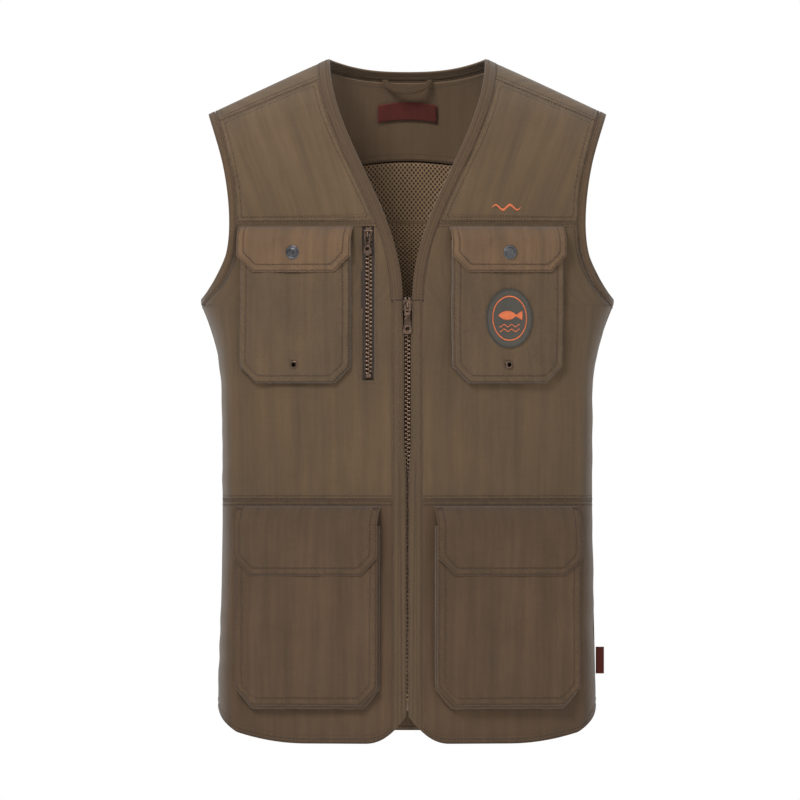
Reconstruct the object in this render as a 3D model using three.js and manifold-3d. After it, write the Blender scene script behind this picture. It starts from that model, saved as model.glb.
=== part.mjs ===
// Fishing vest, standing open-bodied as on a wearer's torso.
// Millimetres, +Z up, front faces -Y, the wearer's right hand side is -X.
// Heights are measured from the lowest point of the hem; the finished group is moved down so
// that its origin lies between the wearer's shoulders, level with the top of the neckline.
import * as THREE from 'three';
import { mergeVertices } from 'three/addons/utils/BufferGeometryUtils.js';
import Module from 'manifold-3d';

const wasm = await Module();
wasm.setup();

// ---------------------------------------------------------------- driving dimensions
// Heights of the three rows of panels
const SKIRT_HEIGHT = 263;            // hem to waist seam
const CHEST_HEIGHT = 299;            // waist seam to chest seam
const YOKE_HEIGHT = 178;             // chest seam to the top of the shoulder at the neck
const SHOULDER_DROP = 60.5;          // neck to shoulder tip
const UNDERARM_BELOW_CHEST_SEAM = 90;
const ZIP_TOP_BELOW_CHEST_SEAM = 84;
// Plan of the body
const FRONT_DEPTH = 118;             // centre front to the shoulder line
const BACK_DEPTH = 108;
const SIDE_DEPTH = 5;                // side seam behind the shoulder line
const FRONT_YAW = THREE.MathUtils.degToRad(17);
const FLAT_START = 28;               // each flat front half starts this far from the centre
const CENTRE_FLAT = 12;              // half width of the flat strip that carries the zip
const NECK_HALF = 84.5;
const SHOULDER_BEYOND_FLAT = 32;     // shoulder tip beyond the flat front half
const UNDERARM_BEYOND_FLAT = 38.5;
const WAIST_BEYOND_FLAT = 16;
const HEM_BEYOND_FLAT = 20;
const FLARE_START = 0.36;             // shares of the chest height where the sides widen
const FLARE_SPAN = 0.34;
const ROOF_BEYOND_TIP = 16;          // half width of the body, carried on above the underarm
const ARM_BLEND = 60;                // height over which the half width eases in above the underarm
// Cloth
const FACET_WIDTH = 21.6;            // widest facet of the back panel and of its lining

const SHELL = 2.4;
const LINING = 1.2;
const SEAM_GAP = 0.4;
const LINING_GAP = 3;                // the lining hangs free of the shell
const BAND_WIDTH = 12.2;             // neck binding
const ARMHOLE_BAND = 8;
const FRONT_SEAM_ANGLE = -27;        // shoulder seam, degrees in front of the ridge
const BACK_SEAM_ANGLE = 75;          // back yoke seam, degrees behind the ridge
const BACK_NECK_ANGLE = 35.4;        // lowest point of the back neckline
const FACING_TOP_ANGLE = 8;
const FACING_BOTTOM_ANGLE = 70;
// Hem
const NOTCH_HEIGHT = 31;
const NOTCH_HALF = 45;
const SIDE_RISE = 41;
const BACK_HEM = 12;
// Main zip
const CHAIN_PITCH = 4.4;
const TOOTH = 1.7;
const CHAIN_INNER = 0.9;             // teeth stop short of the centre line for the slider's post
const CHAIN_ROOT = 2;
const CHAIN_OUTER = 3.2;
const CHAIN_HALF_THICK = 1;
const TAPE_THICK = 0.8;
const TAPE_GAP = 0.3;
const TAPE_OUTER = 13;
const TAPE_ABOVE_ZIP = 5;
const PLACKET_OUTER = 16;
const PLACKET_THICK = 1.2;
const PLACKET_OPEN = 5.2;            // half gap at the slider
const PLACKET_PARTED = 3.6;          // half gap where the teeth show
const PLACKET_CLOSED = 1.5;          // half gap where the edges hide the teeth
const BOX_BOTTOM = 37;
const BOX_HEIGHT = 10;
const PIN_HEIGHT = 17;
// Sliders
const SLIDER_HALF = 4.6;
const SLIDER_LENGTH = 11;
const PLATE = 1;
const CHAIN_CLEARANCE = 0.3;
const POST_HALF = 0.5;
const BRIDGE_HALF = 1.1;
const PULL_BAR = 1.2;
const PULL_WIDTH = 9.4;
const MAIN_PULL_LENGTH = 31;
const CHEST_PULL_LENGTH = 21;
// Chest pockets
const CHEST_POCKET_WIDTH = 125;
const CHEST_POCKET_HEIGHT = 154;     // pouch mouth to bottom
const CHEST_POCKET_DEPTH = 7.6;
const CHEST_POCKET_CENTRES = { right: 120, left: 107 };
const CHEST_FLAP_WIDTH = 129;
const CHEST_FLAP_HEIGHT = 49;
const CHEST_CHAMFER = 18;
const SNAP_BELOW_FLAP_TOP = 28;
const EYELET_ABOVE_BOTTOM = 20;
const BADGE_WIDTH = 52;
const BADGE_HEIGHT = 64;
const BADGE_ABOVE_BOTTOM = 70;
// Lower pockets
const LOWER_POCKET_WIDTH = 161;
const LOWER_POCKET_BOTTOM = 38;
const LOWER_POCKET_DEPTH = 12;
const LOWER_FLAP_OVERHANG = 1;       // flap wider than the pouch, each side
const LOWER_FLAP_HEIGHT = 75;
const LOWER_CHAMFER = 19;
const POCKET_CLOTH = 1.6;
const MOUTH_BELOW_FLAP = 15;
const FASTENER_ROOM = 3.4;           // between pouch and flap
const CLOSURE_TAPE_WIDTH = 20;       // touch-fastening tapes under the lower flaps
const CLOSURE_TAPE_THICK = 1.2;
const CLOSURE_TAPE_GAP = 0.3;
// Chest zip
const CHEST_ZIP_CENTRE = 42.5;
const CHEST_ZIP_WINDOW = 13;
const CHEST_ZIP_HEIGHT = 166;
const CHEST_TAPE_HALF = 8.5;
const BAG_WIDTH = 118;

// ---------------------------------------------------------------- derived sizes
const WAIST_SEAM = SKIRT_HEIGHT;
const CHEST_SEAM = WAIST_SEAM + CHEST_HEIGHT;
const NECK_TOP = CHEST_SEAM + YOKE_HEIGHT;
const TIP_HEIGHT = NECK_TOP - SHOULDER_DROP;
const UNDERARM = CHEST_SEAM - UNDERARM_BELOW_CHEST_SEAM;
const ZIP_TOP = CHEST_SEAM - ZIP_TOP_BELOW_CHEST_SEAM;
const LOWER_POCKET_CENTRE = FLAT_START + 1.5 + LOWER_POCKET_WIDTH * Math.cos(FRONT_YAW) / 2;
const FLAT_END = LOWER_POCKET_CENTRE + LOWER_POCKET_WIDTH * Math.cos(FRONT_YAW) / 2 + 0.5;
const TIP_HALF = FLAT_END + SHOULDER_BEYOND_FLAT;
const ROOF_HALF = TIP_HALF + ROOF_BEYOND_TIP;
const ZIP_Y = -FRONT_DEPTH + PLACKET_THICK + CHAIN_HALF_THICK + CHAIN_CLEARANCE + PLATE + SEAM_GAP;
const BACK_COLUMNS = 2 * Math.ceil(TIP_HALF / FACET_WIDTH);
const rad = THREE.MathUtils.degToRad;
const lerp = THREE.MathUtils.lerp;
const smooth = (x, low, high) => THREE.MathUtils.smoothstep(x, low, high);

const COLOURS = {
  shell: [0x56483a, 0.95, 0], trim: [0x594436, 0.95, 0], lining: [0x463c33, 0.97, 0],
  metal: [0x4a4038, 0.4, 0.8], tape: [0x33291f, 0.95, 0], label: [0x3c1a14, 0.9, 0],
  badge: [0x4a4845, 0.9, 0],
};

// ---------------------------------------------------------------- surfaces of the torso
// Outline of a front half in plan: a flat strip at the zip, a soft bend, then a flat half.
function frontDepthAt(x) {
  const bend = Math.tan(FRONT_YAW) * Math.max(0, Math.min(x, FLAT_START) - CENTRE_FLAT) ** 2;
  const slope = Math.tan(FRONT_YAW) * Math.max(0, x - FLAT_START);
  return -FRONT_DEPTH + bend / (2 * (FLAT_START - CENTRE_FLAT)) + slope;
}

// Half width of the body below the underarm.
function bodyHalf(z) {
  const flare = Math.max(0, (z - WAIST_SEAM - CHEST_HEIGHT * FLARE_START) / (CHEST_HEIGHT * FLARE_SPAN));
  const hem = (HEM_BEYOND_FLAT - WAIST_BEYOND_FLAT) * (1 - smooth(z, 0, WAIST_SEAM));
  const arm = (UNDERARM_BEYOND_FLAT - WAIST_BEYOND_FLAT) * Math.min(flare, 1) ** 2;
  return FLAT_END + WAIST_BEYOND_FLAT + hem + arm;
}

function frontHalf(z) {
  const narrowing = UNDERARM_BEYOND_FLAT - SHOULDER_BEYOND_FLAT + 2;
  const inward = smooth(z, UNDERARM, UNDERARM + ARM_BLEND) * narrowing;
  return bodyHalf(z) - inward;
}

function backHalf(z) {
  const outward = smooth(z, UNDERARM, CHEST_SEAM) * (ROOF_HALF - FLAT_END - UNDERARM_BEYOND_FLAT);
  return bodyHalf(z) + outward;
}

// Front of the body: u runs 0..1 over the flat half by width and 1..2 round the side.
function frontWrap(u, z) {
  if (u <= 1) {
    return new THREE.Vector3(u * FLAT_END, frontDepthAt(u * FLAT_END), z);
  }
  const half = frontHalf(z);
  const start = new THREE.Vector2(FLAT_END, frontDepthAt(FLAT_END));
  const side = new THREE.Vector2(half, SIDE_DEPTH);
  const reach = 0.8 * (half - FLAT_END);
  const corner = new THREE.CubicBezierCurve(
    start,
    new THREE.Vector2(start.x + reach * Math.cos(FRONT_YAW), start.y + reach * Math.sin(FRONT_YAW)),
    new THREE.Vector2(half, lerp(start.y, SIDE_DEPTH, 0.42)),
    side,
  );
  const point = corner.getPoint(Math.min(u - 1, 1));
  return new THREE.Vector3(point.x, point.y + Math.max(0, u - 2) * 50, z);
}

function frontUAt(x, z) {
  if (x <= FLAT_END) {
    return x / FLAT_END;
  }
  let low = 1;
  let high = 2;
  for (let step = 0; step < 30; step += 1) {
    const middle = (low + high) / 2;
    if (frontWrap(middle, z).x < x) {
      low = middle;
    } else {
      high = middle;
    }
  }
  return low;
}

// Back of the body: angle 0 is the centre back, 90 the side seam.
const BACK_POWER = 0.84;
const signedPower = (value) => Math.sign(value) * Math.abs(value) ** BACK_POWER;

function backDepth(z) {
  return BACK_DEPTH - 12 * (1 - smooth(z, WAIST_SEAM, CHEST_SEAM)) * smooth(z, -WAIST_SEAM, WAIST_SEAM);
}

function backWrap(angle, z) {
  const x = backHalf(z) * signedPower(Math.sin(rad(angle)));
  const y = SIDE_DEPTH + (backDepth(z) - SIDE_DEPTH) * signedPower(Math.cos(rad(angle)));
  return new THREE.Vector3(x, y, z);
}

function backAngleAt(x, z) {
  return THREE.MathUtils.radToDeg(Math.asin(Math.min(1, (x / backHalf(z)) ** (1 / BACK_POWER))));
}

// Shoulders: angle 0 is the ridge, -90 the chest seam in front, +90 the same height behind.
function ridgeHeight(x) {
  const round = (value) => Math.hypot(value, 45);
  const fall = SHOULDER_DROP / (round(TIP_HALF) - round(NECK_HALF));
  return NECK_TOP - fall * (round(x) - round(NECK_HALF));
}

function roof(x, angle) {
  const a = rad(angle);
  const backY = SIDE_DEPTH + (BACK_DEPTH - SIDE_DEPTH)
    * Math.max(0, 1 - (Math.abs(x) / ROOF_HALF) ** (2 / BACK_POWER)) ** (BACK_POWER / 2);
  const reach = angle < 0 ? -frontDepthAt(Math.abs(x)) : backY;
  return new THREE.Vector3(
    x,
    reach * Math.sin(a),
    CHEST_SEAM + (ridgeHeight(x) - CHEST_SEAM) * Math.cos(a),
  );
}

// ---------------------------------------------------------------- edges
// V neck: half opening at a height.
function neckHalf(z) {
  return PLACKET_OPEN + (NECK_HALF - PLACKET_OPEN) * smooth(z, ZIP_TOP, NECK_TOP) ** 1.1;
}

// Height on the V neck where its edge passes a shoulder angle.
function neckHeightAt(angle) {
  let low = CHEST_SEAM;
  let high = NECK_TOP;
  for (let step = 0; step < 40; step += 1) {
    const middle = (low + high) / 2;
    const wanted = CHEST_SEAM + (ridgeHeight(neckHalf(middle)) - CHEST_SEAM) * Math.cos(rad(angle));
    if (middle < wanted) {
      low = middle;
    } else {
      high = middle;
    }
  }
  return low;
}

// Armhole edge of the cloth, seen from the front and from the back.
const underarmHalf = bodyHalf(UNDERARM);
const shoulderEdge = TIP_HALF - ARMHOLE_BAND;
const frontArmhole = new THREE.SplineCurve([
  new THREE.Vector2(underarmHalf, UNDERARM),
  new THREE.Vector2(FLAT_END + 17, UNDERARM + 26),
  new THREE.Vector2(FLAT_END + 3.5, UNDERARM + ARM_BLEND),
  new THREE.Vector2(FLAT_END + 1, CHEST_SEAM + 13),
  new THREE.Vector2(FLAT_END + 8, lerp(CHEST_SEAM, TIP_HEIGHT, 0.56)),
  new THREE.Vector2(shoulderEdge, ridgeHeight(shoulderEdge)),
]);
const backArmhole = new THREE.SplineCurve([
  new THREE.Vector2(underarmHalf, UNDERARM),
  new THREE.Vector2(FLAT_END + 20, UNDERARM + 26),
  new THREE.Vector2(FLAT_END + 5, UNDERARM + ARM_BLEND),
  new THREE.Vector2(FLAT_END - 1, CHEST_SEAM + 13),
  new THREE.Vector2(FLAT_END + 4, lerp(CHEST_SEAM, TIP_HEIGHT, 0.56)),
  new THREE.Vector2(shoulderEdge, ridgeHeight(shoulderEdge)),
]);

// First place along a rising edge where a test turns true.
function alongEdge(edge, reached) {
  let low = 0;
  let high = 1;
  for (let step = 0; step < 40; step += 1) {
    const middle = (low + high) / 2;
    if (reached(edge.getPoint(middle))) {
      high = middle;
    } else {
      low = middle;
    }
  }
  return edge.getPoint(high);
}

const armholeHalf = (edge, z) => alongEdge(edge, (point) => point.y >= z).x;

function armholeHalfAtAngle(edge, angle) {
  const wanted = Math.cos(rad(angle));
  return alongEdge(edge, (point) => (
    (point.y - CHEST_SEAM) / (ridgeHeight(point.x) - CHEST_SEAM) >= wanted)).x;
}

function frontHem(u) {
  const x = Math.min(u, 1) * FLAT_END;
  const notch = NOTCH_HEIGHT * Math.max(0, 1 - x / NOTCH_HALF) ** 2;
  const lobe = 12 * Math.max(0, (x - 110) / (FLAT_END - 110)) ** 2;
  return 1 + notch + lobe + (SIDE_RISE - 13) * Math.max(0, u - 1);
}

function backHem(angle) {
  return BACK_HEM + (SIDE_RISE - BACK_HEM) * smooth(Math.abs(angle), 40, 90);
}

// ---------------------------------------------------------------- solids
function geometryOf(points, triangles) {
  const geometry = new THREE.BufferGeometry();
  geometry.setAttribute('position', new THREE.Float32BufferAttribute(points.flatMap((p) => p.toArray()), 3));
  geometry.setIndex(triangles);
  return faceOut(geometry);
}

// Position only, with shared vertices merged.
function welded(geometry) {
  const bare = geometry.clone();
  bare.deleteAttribute('normal');
  bare.deleteAttribute('uv');
  return mergeVertices(bare, 1e-4);
}

// Turns the winding round where the faces of a closed body point in.
function faceOut(geometry) {
  const position = geometry.getAttribute('position');
  const index = geometry.getIndex().array;
  let volume = 0;
  const corner = [0, 1, 2].map(() => new THREE.Vector3());
  for (let i = 0; i < index.length; i += 3) {
    corner.forEach((p, k) => p.fromBufferAttribute(position, index[i + k]));
    volume += corner[0].dot(corner[1].cross(corner[2]));
  }
  if (volume < 0) {
    for (let i = 0; i < index.length; i += 3) {
      const swap = index[i];
      index[i] = index[i + 1];
      index[i + 1] = swap;
    }
  }
  return geometry;
}

// Outward normal of a surface at (u, v), from short steps either way.
function normalOf(surface, u, v, stepU, stepV) {
  const du = surface(u + stepU, v).sub(surface(u - stepU, v));
  const dv = surface(u, v + stepV).sub(surface(u, v - stepV));
  const normal = du.cross(dv).normalize();
  const point = surface(u, v);
  const inside = new THREE.Vector3(0, 0, Math.min(point.z, CHEST_SEAM - 60));
  return normal.dot(point.sub(inside)) < 0 ? normal.negate() : normal;
}

const SURFACES = {
  front: { at: frontWrap, steps: [0.002, 0.5] },
  back: { at: backWrap, steps: [0.5, 0.5] },
  roof: { at: roof, steps: [0.2, 0.5] },
};

// One point of a cloth: [surface, u, v], pushed inward by a depth.
function clothPoint([name, u, v], depth) {
  const { at, steps } = SURFACES[name];
  const normal = normalOf(at, u, v, steps[0], steps[1]);
  return at(u, v).addScaledVector(normal, -depth);
}

// A grid of points at two depths made one closed solid: points has every row of the outer
// layer and then every row of the inner one.
function layered(points, rows, columns) {
  const at = (layer, i, j) => (layer * rows + i) * columns + j;
  const triangles = [];
  const quad = (a, b, c, d) => triangles.push(a, b, c, a, c, d);
  const end = columns - 1;
  const last = rows - 1;
  for (let i = 0; i < last; i += 1) {
    for (let j = 0; j < end; j += 1) {
      quad(at(0, i, j), at(0, i, j + 1), at(0, i + 1, j + 1), at(0, i + 1, j));
      quad(at(1, i, j), at(1, i + 1, j), at(1, i + 1, j + 1), at(1, i, j + 1));
    }
    quad(at(0, i + 1, 0), at(1, i + 1, 0), at(1, i, 0), at(0, i, 0));
    quad(at(0, i, end), at(1, i, end), at(1, i + 1, end), at(0, i + 1, end));
  }
  for (let j = 0; j < end; j += 1) {
    quad(at(0, 0, j), at(1, 0, j), at(1, 0, j + 1), at(0, 0, j + 1));
    quad(at(0, last, j + 1), at(1, last, j + 1), at(1, last, j), at(0, last, j));
  }
  return geometryOf(points, triangles);
}

// A cloth: a grid of surface points made solid between two depths.
function cloth(grid, outer, inner) {
  const points = [outer, inner].flatMap((depth) => grid.flat().map((spot) => clothPoint(spot, depth)));
  return layered(points, grid.length, grid[0].length);
}

function toManifold(geometry) {
  const merged = welded(geometry);
  return new wasm.Manifold(new wasm.Mesh({
    numProp: 3,
    vertProperties: new Float32Array(merged.getAttribute('position').array),
    triVerts: new Uint32Array(merged.getIndex().array),
  }));
}

function fromManifold(body) {
  const mesh = body.getMesh();
  const geometry = new THREE.BufferGeometry();
  geometry.setAttribute('position', new THREE.Float32BufferAttribute(mesh.vertProperties, 3));
  geometry.setIndex([...mesh.triVerts]);
  return geometry;
}

const join = (...parts) => fromManifold(parts.map(toManifold).reduce((a, b) => a.add(b)));
const cut = (part, ...tools) => (
  fromManifold(tools.reduce((a, b) => a.subtract(toManifold(b)), toManifold(part))));
const common = (a, b) => fromManifold(toManifold(a).intersect(toManifold(b)));

// Box between two corners.
function box(x0, x1, y0, y1, z0, z1) {
  return new THREE.BoxGeometry(x1 - x0, y1 - y0, z1 - z0)
    .translate((x0 + x1) / 2, (y0 + y1) / 2, (z0 + z1) / 2);
}

// Plate: an outline in X and Z, from depth y0 outward (towards -Y) by a thickness.
function plate(shape, y0, thick, curveSegments = 6) {
  return new THREE.ExtrudeGeometry(shape, { depth: thick, bevelEnabled: false, curveSegments })
    .rotateX(Math.PI / 2)
    .translate(0, y0, 0);
}

function shapeOf(points) {
  return new THREE.Shape(points.map(([x, z]) => new THREE.Vector2(x, z)));
}

// Pocket outline: square at the top, chamfered at the bottom.
function pocketShape(width, top, bottom, chamfer) {
  const half = width / 2;
  return shapeOf([[-half, top], [-half, bottom + chamfer], [-half + chamfer, bottom],
    [half - chamfer, bottom], [half, bottom + chamfer], [half, top]]);
}

// Side view outline in Y and Z, extruded along X about the middle.
function sideExtrusion(points, width) {
  const basis = new THREE.Matrix4().makeBasis(
    new THREE.Vector3(0, 1, 0),
    new THREE.Vector3(0, 0, 1),
    new THREE.Vector3(1, 0, 0),
  );
  return new THREE.ExtrudeGeometry(shapeOf(points), { depth: width, bevelEnabled: false })
    .applyMatrix4(basis)
    .translate(-width / 2, 0, 0);
}

const vest = new THREE.Group();
vest.position.z = -NECK_TOP;

function add(name, geometry, look, parent = vest) {
  const [color, roughness, metalness] = COLOURS[look];
  const mesh = new THREE.Mesh(geometry, new THREE.MeshStandardMaterial({ color, roughness, metalness }));
  mesh.name = name;
  parent.add(mesh);
  return mesh;
}

// The wearer's right is a mirror image of the left: x and the winding change sign.
function sided(geometry, side) {
  return side === 'left' ? geometry : faceOut(welded(geometry).scale(-1, 1, 1));
}

const range = (count, low, high) => Array.from({ length: count + 1 }, (_, i) => lerp(low, high, i / count));

// ---------------------------------------------------------------- body panels
const SIDE_COLUMNS = 4;
const FLAT_COLUMNS = 3;

// Rows shared by neighbouring pieces, so that their edges follow the same chords.
const ascending = (values) => [...new Set(values)].sort((a, b) => a - b);
const LOWER_MARK = Math.min(UNDERARM, ZIP_TOP);
const UPPER_MARK = Math.max(UNDERARM, ZIP_TOP);
const CHEST_ROWS = ascending([
  ...range(3, WAIST_SEAM + SEAM_GAP / 2, LOWER_MARK),
  ...range(6, UPPER_MARK, CHEST_SEAM - SEAM_GAP / 2),
]);
const YOKE_ANGLES = range(7, -89.8, FRONT_SEAM_ANGLE);
const NECK_FRONT_ANGLES = range(3, FRONT_SEAM_ANGLE, 0);
const NAPE_TURNS = range(7, 0, 90);
const BACK_ROWS = range(5, UNDERARM, CHEST_SEAM);
const BACK_ANGLES = range(2, 90, BACK_SEAM_ANGLE + 0.2);
const YOKE_SEAM_ANGLES = range(6, BACK_SEAM_ANGLE - 0.2, FRONT_SEAM_ANGLE + 0.3);
const SIDE_SEAM = 1.995;
const BACK_SIDE_SEAM = 89.7;
const LINING_SIDE = 84;

// Positions across a front panel, from an inner x to the side seam or the armhole.
function across(inner, z) {
  const u0 = inner / FLAT_END;
  const u1 = z <= UNDERARM ? SIDE_SEAM : frontUAt(armholeHalf(frontArmhole, z), z);
  const middle = Math.min(1, u1);
  const bend = Math.max(FLAT_START / FLAT_END, lerp(u0, middle, 0.1));
  return [u0, ...range(FLAT_COLUMNS, bend, middle), ...range(SIDE_COLUMNS, middle, u1).slice(1)];
}

function skirtGrid() {
  return range(4, 0, 1).map((v) => across(PLACKET_OUTER + SEAM_GAP, 0).map((u) => (
    ['front', u, lerp(frontHem(u), WAIST_SEAM - SEAM_GAP / 2, v)])));
}

function chestInner(z) {
  return z < ZIP_TOP ? PLACKET_OUTER + SEAM_GAP : neckHalf(z) + BAND_WIDTH + SEAM_GAP;
}

function chestGrid() {
  return CHEST_ROWS.map((z) => across(chestInner(z), z).map((u) => ['front', u, z]));
}

function frontYokeGrid() {
  return YOKE_ANGLES.map((angle) => {
    const inner = neckHalf(neckHeightAt(angle)) + BAND_WIDTH + SEAM_GAP;
    return range(5, inner, armholeHalfAtAngle(frontArmhole, angle)).map((x) => ['roof', x, angle]);
  });
}

function backPanelGrid() {
  const columns = range(BACK_COLUMNS, -1, 1);
  const low = range(2, 0, 1).map((v) => columns.map((c) => {
    const angle = BACK_SIDE_SEAM * Math.sign(c) * Math.abs(c) ** 0.9;
    return ['back', angle, lerp(backHem(angle), WAIST_SEAM, v)];
  }));
  const middle = range(3, WAIST_SEAM, UNDERARM).slice(1).map((z) => columns.map((c) => (
    ['back', BACK_SIDE_SEAM * Math.sign(c) * Math.abs(c) ** 0.9, z])));
  const arms = BACK_ROWS.slice(1).map((z) => {
    const reach = Math.min(BACK_SIDE_SEAM, backAngleAt(armholeHalf(backArmhole, z), z));
    return columns.map((c) => ['back', reach * Math.sign(c) * Math.abs(c) ** 0.9, z]);
  });
  const top = BACK_ANGLES.slice(1).map((angle) => {
    const reach = armholeHalfAtAngle(backArmhole, angle);
    return columns.map((c) => {
      const turn = rad(90 * Math.sign(c) * Math.abs(c) ** 0.9);
      return ['roof', reach * signedPower(Math.sin(turn)), angle];
    });
  });
  return [...low, ...middle, ...arms, ...top];
}

// Back neckline: turn 0 is the neck point on the ridge, 90 the centre back.
function backNeck(turn, band) {
  const spread = NECK_HALF + band;
  const bandAngle = THREE.MathUtils.radToDeg(band / BACK_DEPTH * 0.62);
  return [spread * Math.cos(rad(turn)), (BACK_NECK_ANGLE + bandAngle) * Math.sin(rad(turn))];
}

// Yoke cloth: from a lower seam up to a line across each shoulder and the back neckline between.
function yokeGrid(angles, edgeAt) {
  const band = BAND_WIDTH + SEAM_GAP;
  const bottomAngle = angles[0];
  const topAngle = angles[angles.length - 1];
  const lowTurn = THREE.MathUtils.radToDeg(Math.asin(Math.max(0, topAngle) / BACK_NECK_ANGLE));
  const nape = [...NAPE_TURNS].reverse().map((turn) => backNeck(Math.max(turn, lowTurn), band));
  const neckFront = [...NECK_FRONT_ANGLES].reverse().slice(1)
    .map((angle) => [neckHalf(neckHeightAt(angle)) + band, Math.max(angle, topAngle)]);
  const neck = topAngle < 0 ? [...nape, ...neckFront] : nape.slice(0, -1).concat([backNeck(lowTurn, band)]);
  const shoulder = range(5, neck[neck.length - 1][0], edgeAt(topAngle)).slice(1).map((x) => [x, topAngle]);
  const tops = [...neck, ...shoulder];
  const last = tops.length - 1;
  const columns = range(2 * last, -last, last);
  return angles.map((_, row) => columns.map((c) => {
    const v = row / (angles.length - 1);
    const share = Math.abs(c) / last;
    const [topX, topAngleHere] = tops[Math.round(Math.abs(c))];
    const angle = lerp(bottomAngle, topAngleHere, v);
    const straight = lerp(share * edgeAt(bottomAngle), topX, v);
    const edgeStraight = lerp(edgeAt(bottomAngle), edgeAt(topAngle), v);
    const x = straight + (edgeAt(angle) - edgeStraight) * share ** 6;
    return ['roof', Math.sign(c) * x, angle];
  }));
}

const shoulderEdgeAt = (angle) => armholeHalfAtAngle(angle < 0 ? frontArmhole : backArmhole, angle);

function liningGrid() {
  const columns = range(BACK_COLUMNS, -1, 1);
  const hemward = range(2, 0, 1).map((v) => columns.map((c) => (
    ['back', LINING_SIDE * c, lerp(backHem(LINING_SIDE * c) + 24, WAIST_SEAM, v)])));
  const sides = range(3, WAIST_SEAM, UNDERARM).slice(1).map((z) => (
    columns.map((c) => ['back', LINING_SIDE * c, z])));
  const arms = BACK_ROWS.slice(1).map((z) => {
    const reach = Math.min(LINING_SIDE, backAngleAt(armholeHalf(backArmhole, z) - 6, z));
    return columns.map((c) => ['back', reach * c, z]);
  });
  const top = range(3, 90, FACING_BOTTOM_ANGLE + 0.3).slice(1).map((angle) => {
    const reach = armholeHalfAtAngle(backArmhole, angle) - 6;
    return columns.map((c) => ['roof', reach * signedPower(Math.sin(rad(90 * c))), angle]);
  });
  return [...hemward, ...sides, ...arms, ...top];
}

// Neck binding: from the zip top up the V, over the ridge, round the back neck and down again.
function neckBindingGrid() {
  const section = [0, BAND_WIDTH / 2, BAND_WIDTH];
  const vee = CHEST_ROWS.filter((z) => z >= ZIP_TOP).map((z) => section.map((w) => (
    ['front', (neckHalf(z) + w) / FLAT_END, Math.max(z, ZIP_TOP + SEAM_GAP)])));
  const yoke = [...YOKE_ANGLES, ...NECK_FRONT_ANGLES.slice(1)].map((angle) => section.map((w) => (
    ['roof', neckHalf(neckHeightAt(angle)) + w, angle])));
  const nape = NAPE_TURNS.slice(1).map((turn) => section.map((w) => {
    const [x, angle] = backNeck(turn, w);
    return ['roof', x, angle];
  }));
  const left = [...vee, ...yoke, ...nape];
  const right = left.slice(0, -1).reverse().map((row) => row.map(([name, u, v]) => [name, u, v, -1]));
  return [left, right];
}

// The binding's cloth points, with the right half mirrored.
function neckBinding() {
  const [left, right] = neckBindingGrid();
  const mirrored = (spot, depth) => {
    const point = clothPoint(spot.slice(0, 3), depth);
    return spot[3] === -1 ? new THREE.Vector3(-point.x, point.y, point.z) : point;
  };
  const grid = [...left, ...right];
  const points = [0, SHELL].flatMap((depth) => grid.flat().map((spot) => mirrored(spot, depth)));
  return layered(points, grid.length, grid[0].length);
}

// Armhole binding: a ring that carries the cloth on past the armhole edge.
function armholeBinding() {
  const spots = [
    ...CHEST_ROWS.filter((z) => z >= UNDERARM).map((z) => {
      const u = z <= UNDERARM ? SIDE_SEAM : frontUAt(armholeHalf(frontArmhole, z), z);
      return ['front', u, z];
    }),
    ...YOKE_ANGLES.map((angle) => ['roof', armholeHalfAtAngle(frontArmhole, angle), angle]),
    ...[...YOKE_SEAM_ANGLES].reverse().map((angle) => ['roof', shoulderEdgeAt(angle), angle]),
    ...[...BACK_ANGLES].reverse().map((angle) => ['roof', shoulderEdgeAt(angle), angle]),
    ...BACK_ROWS.slice(1, -1).reverse().map((z) => (
      ['back', Math.min(BACK_SIDE_SEAM, backAngleAt(armholeHalf(backArmhole, z), z)), z])),
  ];
  const outerPoints = spots.map((spot) => clothPoint(spot, 0));
  const middle = new THREE.Vector3(underarmHalf, SIDE_DEPTH, (UNDERARM + TIP_HEIGHT) / 2);
  const rings = spots.map((spot, i) => {
    const next = outerPoints[(i + 1) % spots.length];
    const previous = outerPoints[(i + spots.length - 1) % spots.length];
    const tangent = next.clone().sub(previous).normalize();
    const normal = normalOf(SURFACES[spot[0]].at, spot[1], spot[2], ...SURFACES[spot[0]].steps);
    const outward = normal.clone().cross(tangent).normalize();
    if (outward.dot(middle.clone().sub(outerPoints[i])) < 0) {
      outward.negate();
    }
    const section = [[SEAM_GAP, 0], [ARMHOLE_BAND, 0], [ARMHOLE_BAND, SHELL], [SEAM_GAP, SHELL]];
    return section.map(([out, depth]) => (
      outerPoints[i].clone().addScaledVector(outward, out).addScaledVector(normal, -depth)));
  });
  const triangles = [];
  rings.forEach((_, i) => {
    for (let k = 0; k < 4; k += 1) {
      const a = i * 4 + k;
      const b = i * 4 + (k + 1) % 4;
      const c = ((i + 1) % rings.length) * 4 + (k + 1) % 4;
      const d = ((i + 1) % rings.length) * 4 + k;
      triangles.push(a, b, c, a, c, d);
    }
  });
  return geometryOf(rings.flat(), triangles);
}

// Placket: covers the zip tape; its edge parts where the teeth show.
function placketEdge(z) {
  const parted = lerp(PLACKET_CLOSED, PLACKET_PARTED, smooth(z, ZIP_TOP - 190, ZIP_TOP - 145));
  return lerp(parted, PLACKET_OPEN, smooth(z, ZIP_TOP - 45, ZIP_TOP - 10));
}

function placketGrid() {
  const columns = 2;
  return range(12, 0, 1).map((v) => range(columns, 0, 1).map((c) => {
    const guess = lerp(NOTCH_HEIGHT, ZIP_TOP, v);
    const x = lerp(placketEdge(guess), PLACKET_OUTER, c);
    return ['front', x / FLAT_END, lerp(frontHem(x / FLAT_END), ZIP_TOP, v)];
  }));
}

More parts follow.
